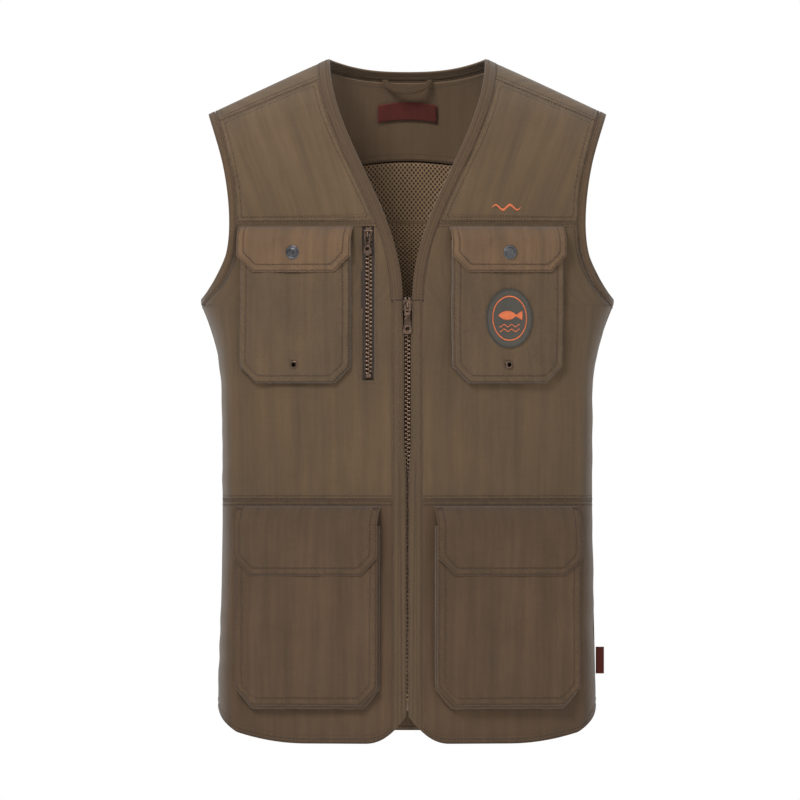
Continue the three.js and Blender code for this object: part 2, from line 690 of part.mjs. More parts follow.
for (const side of ['right', 'left']) {
  const window = side === 'right';
  add(`front_skirt_${side}`, sided(cloth(skirtGrid(), 0, SHELL), side), 'shell');
  let chest = sided(cloth(chestGrid(), 0, SHELL), side);
  if (window) {
    const half = CHEST_ZIP_WINDOW / 2;
    const slot = box(-CHEST_ZIP_CENTRE - half, -CHEST_ZIP_CENTRE + half, -FRONT_DEPTH - 20, -FRONT_DEPTH + 40,
      CHEST_SEAM - 4 - CHEST_ZIP_HEIGHT, CHEST_SEAM - 4);
    chest = cut(chest, slot);
  }
  add(`front_chest_${side}`, chest, 'shell');
  add(`front_yoke_${side}`, sided(cloth(frontYokeGrid(), 0, SHELL), side), 'shell');
  add(`placket_${side}`, sided(cloth(placketGrid(), 0, PLACKET_THICK), side), 'trim');
  add(`armhole_binding_${side}`, sided(armholeBinding(), side), 'trim');
}
add('neck_binding', neckBinding(), 'trim');
add('back_panel', cloth(backPanelGrid(), 0, SHELL), 'shell');
add('back_yoke', cloth(yokeGrid(YOKE_SEAM_ANGLES, shoulderEdgeAt), 0, SHELL), 'shell');
const facingOuter = SHELL + LINING_GAP;
add('neck_facing', cloth(
  yokeGrid(range(5, FACING_BOTTOM_ANGLE - 0.3, FACING_TOP_ANGLE), (angle) => shoulderEdgeAt(angle) - 6),
  facingOuter,
  facingOuter + LINING,
), 'lining');
add('mesh_lining', cloth(liningGrid(), facingOuter, facingOuter + LINING), 'lining');

// ---------------------------------------------------------------- zips
// Teeth of one side: a comb on the tape's edge, from one height up to another.
function teethRow(low, high, offset) {
  const count = Math.floor((high - low - TOOTH - offset) / CHAIN_PITCH);
  const points = [[CHAIN_OUTER, low], [CHAIN_OUTER, high], [CHAIN_ROOT, high]];
  for (let i = count; i >= 0; i -= 1) {
    const z = low + offset + i * CHAIN_PITCH;
    points.push([CHAIN_ROOT, z + TOOTH], [CHAIN_INNER, z + TOOTH], [CHAIN_INNER, z], [CHAIN_ROOT, z]);
  }
  points.push([CHAIN_ROOT, low]);
  return plate(shapeOf(points), CHAIN_HALF_THICK, 2 * CHAIN_HALF_THICK);
}

// Slider, its top at z = 0 and the chain's middle plane at y = 0: two plates with lips that
// leave a slot for the tape, a post between the rows and a bridge for the pull.
function sliderBody(bridgeHeight) {
  const channel = CHAIN_HALF_THICK + CHAIN_CLEARANCE;
  const lip = TAPE_THICK / 2 + CHAIN_CLEARANCE;
  const inner = CHAIN_OUTER + TAPE_GAP + 0.4;
  const parts = [box(-POST_HALF, POST_HALF, -channel - 0.1, channel + 0.1, -4, -0.8)];
  for (const face of [-1, 1]) {
    const [near, far] = [face * channel, face * (channel + PLATE)].sort((a, b) => a - b);
    parts.push(box(-SLIDER_HALF, SLIDER_HALF, near, far, -SLIDER_LENGTH, 0));
    const [lipNear, lipFar] = [face * lip, face * (channel + PLATE)].sort((a, b) => a - b);
    parts.push(box(inner, SLIDER_HALF, lipNear, lipFar, -SLIDER_LENGTH, 0));
    parts.push(box(-SLIDER_HALF, -inner, lipNear, lipFar, -SLIDER_LENGTH, 0));
  }
  const front = -(channel + PLATE) + 0.1;
  const top = front - bridgeHeight;
  parts.push(sideExtrusion([[front, -1], [top, -2.5], [top, -7.5], [front, -9], [front, -7.6],
    [top + 1.1, -6.6], [top + 1.1, -3.4], [front, -2.4]], 2 * BRIDGE_HALF));
  return join(...parts);
}

// Pull about its pivot at the origin: a cross bar under the bridge, arms, a waist and a wide end
// with an oval hole.
function pull(length) {
  const half = PULL_WIDTH / 2;
  const bar = PULL_BAR / 2;
  const arm = BRIDGE_HALF + 0.5;
  const window = 8.5;
  const shape = shapeOf([[-arm - 1.6, bar], [-arm - 1.6, -window], [-arm - 0.6, -window - 3],
    [-half, -length + 5], [-half, -length + 2.5], [-half + 2, -length], [half - 2, -length],
    [half, -length + 2.5], [half, -length + 5], [arm + 0.6, -window - 3], [arm + 1.6, -window],
    [arm + 1.6, bar]]);
  shape.holes.push(new THREE.Path([[-arm, -bar], [arm, -bar], [arm, 0.6 - window], [-arm, 0.6 - window]]
    .map(([x, z]) => new THREE.Vector2(x, z))));
  const eye = new THREE.Path();
  eye.absellipse(0, -length + 5.5, half - 2.4, 2.6, 0, Math.PI * 2);
  shape.holes.push(eye);
  return plate(shape, bar, PULL_BAR, 5);
}

// Height of a pull's pivot in front of the chain, inside the bridge's eye.
const CHANNEL_FRONT = CHAIN_HALF_THICK + CHAIN_CLEARANCE + PLATE;
const MAIN_BRIDGE = PLACKET_THICK + SEAM_GAP + 0.5 + PULL_BAR + 1.5;
const CHEST_BRIDGE = 3.9;
const pivotDepth = (bridgeHeight) => CHANNEL_FRONT + bridgeHeight - 1.1 - 0.3 - PULL_BAR / 2;
const PIVOT_BELOW_TOP = 5;

const MAIN_TEETH_TOP = ZIP_TOP - 6;
const MAIN_TEETH_LOW = BOX_BOTTOM + PIN_HEIGHT + 3;
const STOP_HEIGHT = 3;

const mainZip = new THREE.Group();
mainZip.position.y = ZIP_Y;
vest.add(mainZip);
for (const side of ['right', 'left']) {
  const offset = side === 'left' ? CHAIN_PITCH / 2 : 0;
  const tape = box(CHAIN_OUTER + TAPE_GAP, TAPE_OUTER, -TAPE_THICK / 2, TAPE_THICK / 2, BOX_BOTTOM,
    ZIP_TOP + TAPE_ABOVE_ZIP);
  add(`main_zip_tape_${side}`, sided(tape, side), 'tape', mainZip);
  const teeth = teethRow(MAIN_TEETH_LOW, MAIN_TEETH_TOP, offset);
  add(`main_zip_teeth_${side}`, sided(teeth, side), 'metal', mainZip);
  const stop = box(CHAIN_INNER, CHAIN_OUTER, -CHAIN_HALF_THICK, CHAIN_HALF_THICK, ZIP_TOP + SEAM_GAP,
    ZIP_TOP + SEAM_GAP + STOP_HEIGHT);
  add(`main_zip_top_stop_${side}`, sided(stop, side), 'metal', mainZip);
}
// The retaining box hangs on the left tape; the insertion pin of the right tape stands in it.
const pinLow = BOX_BOTTOM + 2;
const PIN_SIDE = 1.4;
const pinBore = box(-CHAIN_OUTER - 0.2, -CHAIN_OUTER + 2 * PIN_SIDE, -PIN_SIDE / 2 - 0.3, PIN_SIDE / 2 + 0.3,
  pinLow - 0.4, BOX_BOTTOM + BOX_HEIGHT + 1);
const retainer = box(-CHAIN_OUTER - 1.2 - 0.2, CHAIN_OUTER, -2, 2, BOX_BOTTOM, BOX_BOTTOM + BOX_HEIGHT);
const tapeSlot = box(-TAPE_OUTER, -CHAIN_OUTER + 0.1, -TAPE_THICK / 2 - 0.3, TAPE_THICK / 2 + 0.3,
  BOX_BOTTOM - 1, BOX_BOTTOM + BOX_HEIGHT + 1);
add('main_zip_box', cut(retainer, pinBore, tapeSlot), 'metal', mainZip);
const pinLeft = 0.2 - CHAIN_OUTER;
add('main_zip_pin', box(pinLeft, pinLeft + PIN_SIDE, -PIN_SIDE / 2, PIN_SIDE / 2, pinLow,
  BOX_BOTTOM + PIN_HEIGHT), 'metal', mainZip);
add('main_zip_slider', sliderBody(MAIN_BRIDGE), 'metal', mainZip).position.z = ZIP_TOP;
add('main_zip_pull', pull(MAIN_PULL_LENGTH), 'metal', mainZip)
  .position.set(0, -pivotDepth(MAIN_BRIDGE), ZIP_TOP - PIVOT_BELOW_TOP);

// ---------------------------------------------------------------- front frames
// A group in the plane of one front half: x along it, -Y out of it, at a given distance from
// the centre.
function frontFrame(side, distance) {
  const sign = side === 'left' ? 1 : -1;
  const frame = new THREE.Group();
  frame.position.set(sign * distance, frontDepthAt(distance), 0);
  frame.rotation.z = sign * FRONT_YAW;
  vest.add(frame);
  return frame;
}

// Pouch: front wall, side walls and floor; open at the top, and the body panel is its back.
function pouch(width, top, bottom, chamfer, depth) {
  const wall = POCKET_CLOTH;
  const outer = plate(pocketShape(width, top, bottom, chamfer), -SEAM_GAP, depth - SEAM_GAP);
  const hollow = plate(pocketShape(width - 2 * wall, top + 5, bottom + wall, chamfer - wall * 0.4), 1,
    depth - wall + 1);
  return cut(outer, hollow);
}

// Flap about its hinge line, its upper inner edge: it slopes out over the pouch and then hangs.
function flap(width, height, chamfer, reach) {
  const slope = reach * 1.05;
  const inner = SEAM_GAP - reach;
  const outer = inner - POCKET_CLOTH;
  const profile = sideExtrusion([[0, 0], [outer, -slope], [outer, -height], [inner, -height],
    [inner, -slope - 0.6], [0, -2.2]], width);
  return common(profile, plate(pocketShape(width, 5, -height, chamfer), 5, reach + 20));
}

// Press stud: cap outside the flap, socket inside it and stud on the pouch, about one axis.
const CAP_RADIUS = 7.4;
const capProfile = [[0, 0], [CAP_RADIUS, 0], [CAP_RADIUS, 0.7], [CAP_RADIUS - 1.2, 1.4], [3, 2], [0, 2.1]];
const socketProfile = [[3.1, 0], [5.6, 0], [5.6, 2.1], [3.1, 2.1]];
const studProfile = [[0, 0], [5.2, 0], [5.2, 0.7], [2, 0.7], [2.6, 1.7], [2, 2.6], [0, 2.6]];
const ringProfile = [[2, -2.2], [2.7, -2.2], [2.7, 0], [4, 0], [4, 0.8], [2, 0.8]];

// A profile of radius and distance outward, closed on itself or on the axis, turned about -Y.
function disc(profile, x, y, z, sides = 20) {
  const points = profile.map(([r, out]) => new THREE.Vector2(r, out));
  if (profile[0][0] > 0) {
    points.push(points[0].clone());
  }
  return faceOut(welded(new THREE.LatheGeometry(points, sides)).rotateX(Math.PI).translate(x, y, z));
}

const CHEST_FLAP_TOP = CHEST_SEAM - 4;
const CHEST_REACH = CHEST_POCKET_DEPTH + FASTENER_ROOM;
for (const side of ['right', 'left']) {
  const frame = frontFrame(side, CHEST_POCKET_CENTRES[side]);
  const top = CHEST_FLAP_TOP - MOUTH_BELOW_FLAP;
  const bottom = top - CHEST_POCKET_HEIGHT;
  const eyeletAt = bottom + EYELET_ABOVE_BOTTOM;
  const snapAt = CHEST_FLAP_TOP - SNAP_BELOW_FLAP_TOP;
  const front = -CHEST_POCKET_DEPTH;
  const bore = disc([[0, -4], [3, -4], [3, 4], [0, 4]], 0, front, eyeletAt, 16);
  const body = pouch(CHEST_POCKET_WIDTH, top, bottom, CHEST_CHAMFER, CHEST_POCKET_DEPTH);
  add(`chest_pocket_${side}`, cut(body, bore), 'trim', frame);
  add(`drain_eyelet_${side}`, disc(ringProfile, 0, front - 0.3, eyeletAt, 16), 'metal', frame);
  add(`snap_stud_${side}`, disc(studProfile, 0, front - 0.2, snapAt, 16), 'metal', frame);
  add(`snap_socket_${side}`, disc(socketProfile, 0, -CHEST_REACH + 2.4, snapAt, 16), 'metal', frame);
  add(`snap_cap_${side}`, disc(capProfile, 0, -CHEST_REACH - POCKET_CLOTH - 0.3, snapAt), 'metal', frame);
  const chestFlap = flap(CHEST_FLAP_WIDTH, CHEST_FLAP_HEIGHT, CHEST_CHAMFER, CHEST_REACH);
  add(`chest_flap_${side}`, chestFlap, 'trim', frame)
    .position.set(0, -SEAM_GAP, CHEST_FLAP_TOP);
  if (side === 'left') {
    const oval = new THREE.Shape();
    oval.absellipse(0, bottom + BADGE_ABOVE_BOTTOM, BADGE_WIDTH / 2, BADGE_HEIGHT / 2, 0, Math.PI * 2);
    add('chest_badge', plate(oval, front - 0.3, 1, 14), 'badge', frame);
  }
}

const LOWER_FLAP_TOP = WAIST_SEAM - 6;
const LOWER_REACH = LOWER_POCKET_DEPTH + FASTENER_ROOM;
for (const side of ['right', 'left']) {
  const frame = frontFrame(side, LOWER_POCKET_CENTRE);
  const top = LOWER_FLAP_TOP - MOUTH_BELOW_FLAP - 6;
  const front = -LOWER_POCKET_DEPTH;
  const tapeWidth = LOWER_POCKET_WIDTH - 56;
  const tapeTop = LOWER_FLAP_TOP - LOWER_FLAP_HEIGHT + 33;
  const body = pouch(LOWER_POCKET_WIDTH, top, LOWER_POCKET_BOTTOM, LOWER_CHAMFER, LOWER_POCKET_DEPTH);
  add(`lower_pocket_${side}`, body, 'trim', frame);
  const tapeEnd = tapeWidth / 2;
  const tapeLow = tapeTop - CLOSURE_TAPE_WIDTH;
  const loopFront = front - CLOSURE_TAPE_GAP - CLOSURE_TAPE_THICK;
  const hookFront = CLOSURE_TAPE_GAP - LOWER_REACH;
  add(`loop_tape_${side}`, box(-tapeEnd, tapeEnd, loopFront, front - CLOSURE_TAPE_GAP, tapeLow, tapeTop),
    'tape', frame);
  const hookBack = hookFront + CLOSURE_TAPE_THICK;
  add(`hook_tape_${side}`, box(-tapeEnd, tapeEnd, hookFront, hookBack, tapeLow, tapeTop), 'tape', frame);
  const width = LOWER_POCKET_WIDTH + 2 * LOWER_FLAP_OVERHANG;
  add(`lower_flap_${side}`, flap(width, LOWER_FLAP_HEIGHT, LOWER_CHAMFER, LOWER_REACH), 'trim', frame)
    .position.set(0, -SEAM_GAP, LOWER_FLAP_TOP);
}

// ---------------------------------------------------------------- chest zip
const chestFrame = frontFrame('right', CHEST_ZIP_CENTRE);
const chestZip = new THREE.Group();
const CHEST_CHAIN_DEPTH = SHELL + SEAM_GAP + TAPE_THICK / 2;
chestZip.position.y = CHEST_CHAIN_DEPTH;
chestFrame.add(chestZip);
const chestZipTop = CHEST_SEAM - 8;
const chestZipLow = CHEST_SEAM - 4 - CHEST_ZIP_HEIGHT + 3;
for (const side of ['right', 'left']) {
  const offset = side === 'left' ? CHAIN_PITCH / 2 : 0;
  const tape = box(CHAIN_OUTER + TAPE_GAP, CHEST_TAPE_HALF, -TAPE_THICK / 2, TAPE_THICK / 2, chestZipLow - 5,
    chestZipTop + 6);
  add(`chest_zip_tape_${side}`, sided(tape, side), 'tape', chestZip);
  const teeth = teethRow(chestZipLow + 4, chestZipTop - 6, offset);
  add(`chest_zip_teeth_${side}`, sided(teeth, side), 'metal', chestZip);
}
add('chest_zip_bottom_stop', box(-CHAIN_OUTER, CHAIN_OUTER, -CHAIN_HALF_THICK - 0.3, CHAIN_HALF_THICK + 0.3,
  chestZipLow, chestZipLow + 3.4), 'metal', chestZip);
add('chest_zip_top_stop', box(-CHAIN_OUTER, CHAIN_OUTER, -CHAIN_HALF_THICK - 0.3, CHAIN_HALF_THICK + 0.3,
  chestZipTop + SEAM_GAP, chestZipTop + SEAM_GAP + 2), 'metal', chestZip);
add('chest_zip_slider', sliderBody(CHEST_BRIDGE), 'metal', chestZip).position.z = chestZipTop;
add('chest_zip_pull', pull(CHEST_PULL_LENGTH), 'metal', chestZip)
  .position.set(0, -pivotDepth(CHEST_BRIDGE), chestZipTop - PIVOT_BELOW_TOP);
const bagFront = CHEST_CHAIN_DEPTH + CHANNEL_FRONT + SEAM_GAP;
const bagTop = CHEST_SEAM - 6;
const bagShape = pocketShape(BAG_WIDTH, bagTop, bagTop - CHEST_ZIP_HEIGHT - 12, 16);
add('chest_zip_bag', plate(bagShape, bagFront + POCKET_CLOTH, POCKET_CLOTH)
  .translate(-BAG_WIDTH / 2 + 16, 0, 0), 'lining', chestFrame);

// ---------------------------------------------------------------- loop and labels
const LOOP_HALF = 27;
const LOOP_DROP = 16;
const LOOP_STRAP = 6;
const loopShape = new THREE.Shape();
loopShape.absellipse(0, 0, LOOP_HALF, LOOP_DROP, Math.PI, Math.PI * 2);
loopShape.lineTo(LOOP_HALF - LOOP_STRAP, 0);
loopShape.absellipse(0, 0, LOOP_HALF - LOOP_STRAP, LOOP_DROP - LOOP_STRAP, 0, -Math.PI, true);
const napeY = clothPoint(['roof', LOOP_HALF, BACK_NECK_ANGLE + 2], facingOuter + LINING).y;
const napeZ = roof(0, BACK_NECK_ANGLE + 4).z;
add('hanger_loop', plate(loopShape, 0.8, 1.6, 8), 'trim').position.set(0, napeY - 3, napeZ);

const LABEL_HALF = 33;
const labelRows = range(3, BACK_NECK_ANGLE + 19.6, BACK_NECK_ANGLE + 12.4);
const labelOuter = facingOuter + LINING + 0.9;
const labelColumns = range(6, -LABEL_HALF, LABEL_HALF);
add('neck_label', cloth(labelRows.map((angle) => labelColumns.map((x) => ['roof', x, angle])),
  labelOuter, labelOuter + 0.8), 'label');

const SIDE_LABEL_TOP = 104;
const SIDE_LABEL_HEIGHT = 29;
const SIDE_LABEL_REACH = 9;
const sideX = bodyHalf(SIDE_LABEL_TOP - SIDE_LABEL_HEIGHT) + 0.6;
add('side_label', box(sideX, sideX + SIDE_LABEL_REACH, SIDE_DEPTH - 0.8, SIDE_DEPTH + 0.8,
  SIDE_LABEL_TOP - SIDE_LABEL_HEIGHT, SIDE_LABEL_TOP), 'label');

export default vest;
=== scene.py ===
"""Fishing vest: the cloth, zips, studs and labels, built over the fixed frame."""
import math

import bpy
import numpy as np
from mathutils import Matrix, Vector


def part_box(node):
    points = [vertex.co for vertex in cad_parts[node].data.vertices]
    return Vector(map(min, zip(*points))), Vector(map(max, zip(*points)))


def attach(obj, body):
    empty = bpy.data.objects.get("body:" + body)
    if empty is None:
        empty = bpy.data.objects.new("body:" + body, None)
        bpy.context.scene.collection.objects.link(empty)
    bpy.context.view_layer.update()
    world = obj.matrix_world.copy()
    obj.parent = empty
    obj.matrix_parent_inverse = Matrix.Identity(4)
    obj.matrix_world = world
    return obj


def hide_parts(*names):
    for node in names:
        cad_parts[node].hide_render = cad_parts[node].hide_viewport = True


bl_info = {
    "name": "Fishing vest",
    "version": (1, 0, 0),
    "blender": (4, 5, 0),
    "location": "3D View > Sidebar > Vest",
    "description": "Builds a zip-front fishing vest from its sewn panels, pockets and zips",
    "category": "Add Mesh",
}

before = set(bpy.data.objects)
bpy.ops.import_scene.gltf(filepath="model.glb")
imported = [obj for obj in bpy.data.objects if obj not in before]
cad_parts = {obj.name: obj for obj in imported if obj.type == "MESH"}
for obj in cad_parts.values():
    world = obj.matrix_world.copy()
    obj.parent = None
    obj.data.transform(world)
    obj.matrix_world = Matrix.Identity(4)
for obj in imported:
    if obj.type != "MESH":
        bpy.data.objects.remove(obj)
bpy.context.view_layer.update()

# ---------------------------------------------------------------- sizes of the frame, in millimetres
WAIST_SEAM = 263.0
CHEST_SEAM = 562.0
NECK_TOP = 740.0
SHOULDER_DROP = 60.5
TIP_HEIGHT = NECK_TOP - SHOULDER_DROP
UNDERARM = CHEST_SEAM - 90
ZIP_TOP = CHEST_SEAM - 84
FRONT_DEPTH = 118.0
BACK_DEPTH = 108.0
SIDE_DEPTH = 5.0
YAW = math.radians(17)
FLAT_START = 28.0
CENTRE_FLAT = 12.0
NECK_HALF = 84.5
LOWER_WIDTH = 161.0
LOWER_CENTRE = FLAT_START + 1.5 + LOWER_WIDTH * math.cos(YAW) / 2
FLAT_END = LOWER_CENTRE + LOWER_WIDTH * math.cos(YAW) / 2 + 0.5
TIP_HALF = FLAT_END + 32
ROOF_HALF = TIP_HALF + 16
UNDERARM_BEYOND = 38.5
SHELL = 2.4
GAP = 0.4
BAND = 12.2
ARM_BAND = 8.0
PLACKET = 16.0
PLACKET_THICK = 1.2
FRONT_SEAM_ANGLE = -27.0
BACK_SEAM_ANGLE = 75.0
BACK_NECK_ANGLE = 35.4
LINING_DEPTH = SHELL + 3
LINING = 1.2
BACK_POWER = 0.84
CHEST_CENTRES = {"right": 120.0, "left": 107.0}
CHEST_FLAP_TOP = CHEST_SEAM - 4
CHEST_TOP = CHEST_FLAP_TOP - 15
CHEST_BOTTOM = CHEST_TOP - 154
CHEST_WIDTH = 125.0
CHEST_DEPTH = 7.6
CHEST_ROOM = 3.4
CHEST_CHAMFER = 18.0
LOWER_FLAP_TOP = WAIST_SEAM - 6
LOWER_FLAP_HEIGHT = 75.0
LOWER_TOP = LOWER_FLAP_TOP - 21
LOWER_BOTTOM = 38.0
LOWER_DEPTH = 12.0
LOWER_CHAMFER = 19.0
WINDOW = (36.0, 49.0, CHEST_SEAM - 170, CHEST_SEAM - 4)
CHEST_ZIP_AT = (WINDOW[0] + WINDOW[1]) / 2
ZIP_DEPTH = FRONT_DEPTH - 3.9
SIDES = {"right": -1, "left": 1}


def to_metres(points):
    """Millimetres above the hem to the frame's metres."""
    out = np.array(points, dtype=float) / 1000
    out[..., 2] -= NECK_TOP / 1000
    return out


def smooth(x, low, high):
    t = np.clip((np.asarray(x, dtype=float) - low) / (high - low), 0, 1)
    return t * t * (3 - 2 * t)


def lerp(a, b, t):
    return a + (b - a) * t


# ---------------------------------------------------------------- surfaces of the torso
def front_depth(x):
    x = np.asarray(x, dtype=float)
    bend = math.tan(YAW) * np.maximum(0, np.minimum(x, FLAT_START) - CENTRE_FLAT) ** 2
    slope = math.tan(YAW) * np.maximum(0, x - FLAT_START)
    return -FRONT_DEPTH + bend / (2 * (FLAT_START - CENTRE_FLAT)) + slope


def body_half(z):
    flare = np.maximum(0, (z - WAIST_SEAM - 299 * 0.36) / (299 * 0.34))
    hem = 4 * (1 - smooth(z, 0, WAIST_SEAM))
    return FLAT_END + 16 + hem + 22.5 * np.minimum(flare, 1) ** 2


def front_half(z):
    return body_half(z) - smooth(z, UNDERARM, UNDERARM + 60) * 8.5


def back_half(z):
    return body_half(z) + smooth(z, UNDERARM, CHEST_SEAM) * (ROOF_HALF - FLAT_END - UNDERARM_BEYOND)


def front_wrap(u, z):
    """u runs 0..1 over the flat half by width and 1..2 round the side."""
    u, z = np.broadcast_arrays(np.asarray(u, dtype=float), np.asarray(z, dtype=float))
    flat_x = np.minimum(u, 1) * FLAT_END
    half = front_half(z)
    x0, y0 = FLAT_END, float(front_depth(FLAT_END))
    reach = 0.8 * (half - FLAT_END)
    t = np.clip(u - 1, 0, 1)
    a, b, c, d = (1 - t) ** 3, 3 * t * (1 - t) ** 2, 3 * t * t * (1 - t), t ** 3
    bx = a * x0 + b * (x0 + reach * math.cos(YAW)) + c * half + d * half
    by = a * y0 + b * (y0 + reach * math.sin(YAW)) + c * lerp(y0, SIDE_DEPTH, 0.42) + d * SIDE_DEPTH
    x = np.where(u <= 1, flat_x, bx)
    y = np.where(u <= 1, front_depth(flat_x), by + np.maximum(0, u - 2) * 50)
    return np.stack([x, y, z], -1)


def front_u_at(x, z):
    low, high = 1.0, 2.0
    if x <= FLAT_END:
        return x / FLAT_END
    for _ in range(26):
        middle = (low + high) / 2
        if float(front_wrap(middle, z)[..., 0]) < x:
            low = middle
        else:
            high = middle
    return low


def signed_power(value):
    return np.sign(value) * np.abs(value) ** BACK_POWER


def back_depth(z):
    return BACK_DEPTH - 12 * (1 - smooth(z, WAIST_SEAM, CHEST_SEAM)) * smooth(z, -WAIST_SEAM, WAIST_SEAM)


def back_wrap(angle, z):
    angle, z = np.broadcast_arrays(np.asarray(angle, dtype=float), np.asarray(z, dtype=float))
    x = back_half(z) * signed_power(np.sin(np.radians(angle)))
    y = SIDE_DEPTH + (back_depth(z) - SIDE_DEPTH) * signed_power(np.cos(np.radians(angle)))
    return np.stack([x, y, z], -1)


def back_angle_at(x, z):
    return math.degrees(math.asin(min(1, float(x / back_half(z)) ** (1 / BACK_POWER))))


def ridge_height(x):
    fall = SHOULDER_DROP / (math.hypot(TIP_HALF, 45) - math.hypot(NECK_HALF, 45))
    return NECK_TOP - fall * (np.hypot(x, 45) - math.hypot(NECK_HALF, 45))


def roof(x, angle):
    """Shoulders: angle 0 is the ridge, -90 the chest seam in front, 90 the same height behind."""
    x, angle = np.broadcast_arrays(np.asarray(x, dtype=float), np.asarray(angle, dtype=float))
    a = np.radians(angle)
    back_y = SIDE_DEPTH + (BACK_DEPTH - SIDE_DEPTH) * np.maximum(
        0, 1 - (np.abs(x) / ROOF_HALF) ** (2 / BACK_POWER)) ** (BACK_POWER / 2)
    reach = np.where(angle < 0, -front_depth(np.abs(x)), back_y)
    z = CHEST_SEAM + (ridge_height(x) - CHEST_SEAM) * np.cos(a)
    return np.stack([x, reach * np.sin(a), z], -1)


SURFACES = {"front": (front_wrap, 0.002, 0.5), "back": (back_wrap, 0.5, 0.5), "roof": (roof, 0.2, 0.5)}


def normals_of(surface, u, v):
    """Outward normals of a surface, from short steps either way."""
    at, du, dv = SURFACES[surface]
    across = at(u + du, v) - at(u - du, v)
    along = at(u, v + dv) - at(u, v - dv)
    normal = np.cross(across, along)
    normal /= np.maximum(np.linalg.norm(normal, axis=-1, keepdims=True), 1e-9)
    point = at(u, v)
    inside = np.zeros_like(point)
    inside[..., 2] = np.minimum(point[..., 2], CHEST_SEAM - 60)
    turn = np.where(np.sum(normal * (point - inside), -1) < 0, -1.0, 1.0)
    return normal * turn[..., None]


# ---------------------------------------------------------------- edges
def neck_half(z):
    return 5.2 + (NECK_HALF - 5.2) * smooth(z, ZIP_TOP, NECK_TOP) ** 1.1


def neck_height_at(angle):
    low, high = CHEST_SEAM, NECK_TOP
    for _ in range(40):
        middle = (low + high) / 2
        rise = float(ridge_height(neck_half(middle))) - CHEST_SEAM
        if middle < CHEST_SEAM + rise * math.cos(math.radians(angle)):
            low = middle
        else:
            high = middle
    return low


def spline(knots, count=400):
    """Points along a smooth line through the knots."""
    knots = np.array(knots)
    out = []
    for t in np.linspace(0, len(knots) - 1, count):
        i = min(int(t), len(knots) - 2)
        w = t - i
        p0, p1 = knots[max(i - 1, 0)], knots[i]
        p2, p3 = knots[i + 1], knots[min(i + 2, len(knots) - 1)]
        v0, v1 = (p2 - p0) / 2, (p3 - p1) / 2
        cubic = 2 * p1 - 2 * p2 + v0 + v1
        square = -3 * p1 + 3 * p2 - 2 * v0 - v1
        out.append(cubic * w ** 3 + square * w * w + v0 * w + p1)
    return np.array(out)


UNDERARM_HALF = float(body_half(UNDERARM))
SHOULDER_EDGE = TIP_HALF - ARM_BAND
SHOULDER_POINT = (SHOULDER_EDGE, float(ridge_height(SHOULDER_EDGE)))
FRONT_ARMHOLE = spline([
    (UNDERARM_HALF, UNDERARM), (FLAT_END + 17, UNDERARM + 26), (FLAT_END + 3.5, UNDERARM + 60),
    (FLAT_END + 1, CHEST_SEAM + 13), (FLAT_END + 8, lerp(CHEST_SEAM, TIP_HEIGHT, 0.56)), SHOULDER_POINT])
BACK_ARMHOLE = spline([
    (UNDERARM_HALF, UNDERARM), (FLAT_END + 20, UNDERARM + 26), (FLAT_END + 5, UNDERARM + 60),
    (FLAT_END - 1, CHEST_SEAM + 13), (FLAT_END + 4, lerp(CHEST_SEAM, TIP_HEIGHT, 0.56)), SHOULDER_POINT])


def armhole_half(edge, z):
    return float(np.interp(z, edge[:, 1], edge[:, 0]))


def armhole_half_at_angle(edge, angle):
    share = (edge[:, 1] - CHEST_SEAM) / (ridge_height(edge[:, 0]) - CHEST_SEAM)
    start = int(np.argmax(edge[:, 1] > CHEST_SEAM - 1))
    return float(np.interp(math.cos(math.radians(angle)), share[start:], edge[start:, 0]))


def shoulder_edge_at(angle):
    return armhole_half_at_angle(FRONT_ARMHOLE if angle < 0 else BACK_ARMHOLE, angle)


def front_hem(u):
    x = np.minimum(u, 1) * FLAT_END
    notch = 31 * np.maximum(0, 1 - x / 45) ** 2
    lobe = 12 * np.maximum(0, (x - 110) / (FLAT_END - 110)) ** 2
    return 1 + notch + lobe + 28 * np.maximum(0, u - 1)


def back_hem(angle):
    return 12 + 29 * smooth(np.abs(angle), 40, 90)


def placket_edge(z):
    parted = lerp(1.2, 3.6, smooth(z, ZIP_TOP - 190, ZIP_TOP - 145))
    return lerp(parted, 5.2, smooth(z, ZIP_TOP - 45, ZIP_TOP - 10))


# ---------------------------------------------------------------- drape of the cloth
def waves(a, b, seed, long_mm, short_mm, lean, count=9):
    """Soft folds from -1 to 1: longest along one axis, in a narrow range of directions."""
    rng = np.random.default_rng(seed)
    total = np.zeros(np.broadcast(a, b).shape)
    for _ in range(count):
        period = rng.uniform(short_mm, long_mm)
        turn = math.radians(lean + rng.normal(0, 24))
        phase = rng.uniform(0, 2 * math.pi)
        total += np.sin(2 * math.pi * (a * math.cos(turn) + b * math.sin(turn)) / period + phase)
    return total / math.sqrt(count) / 1.3


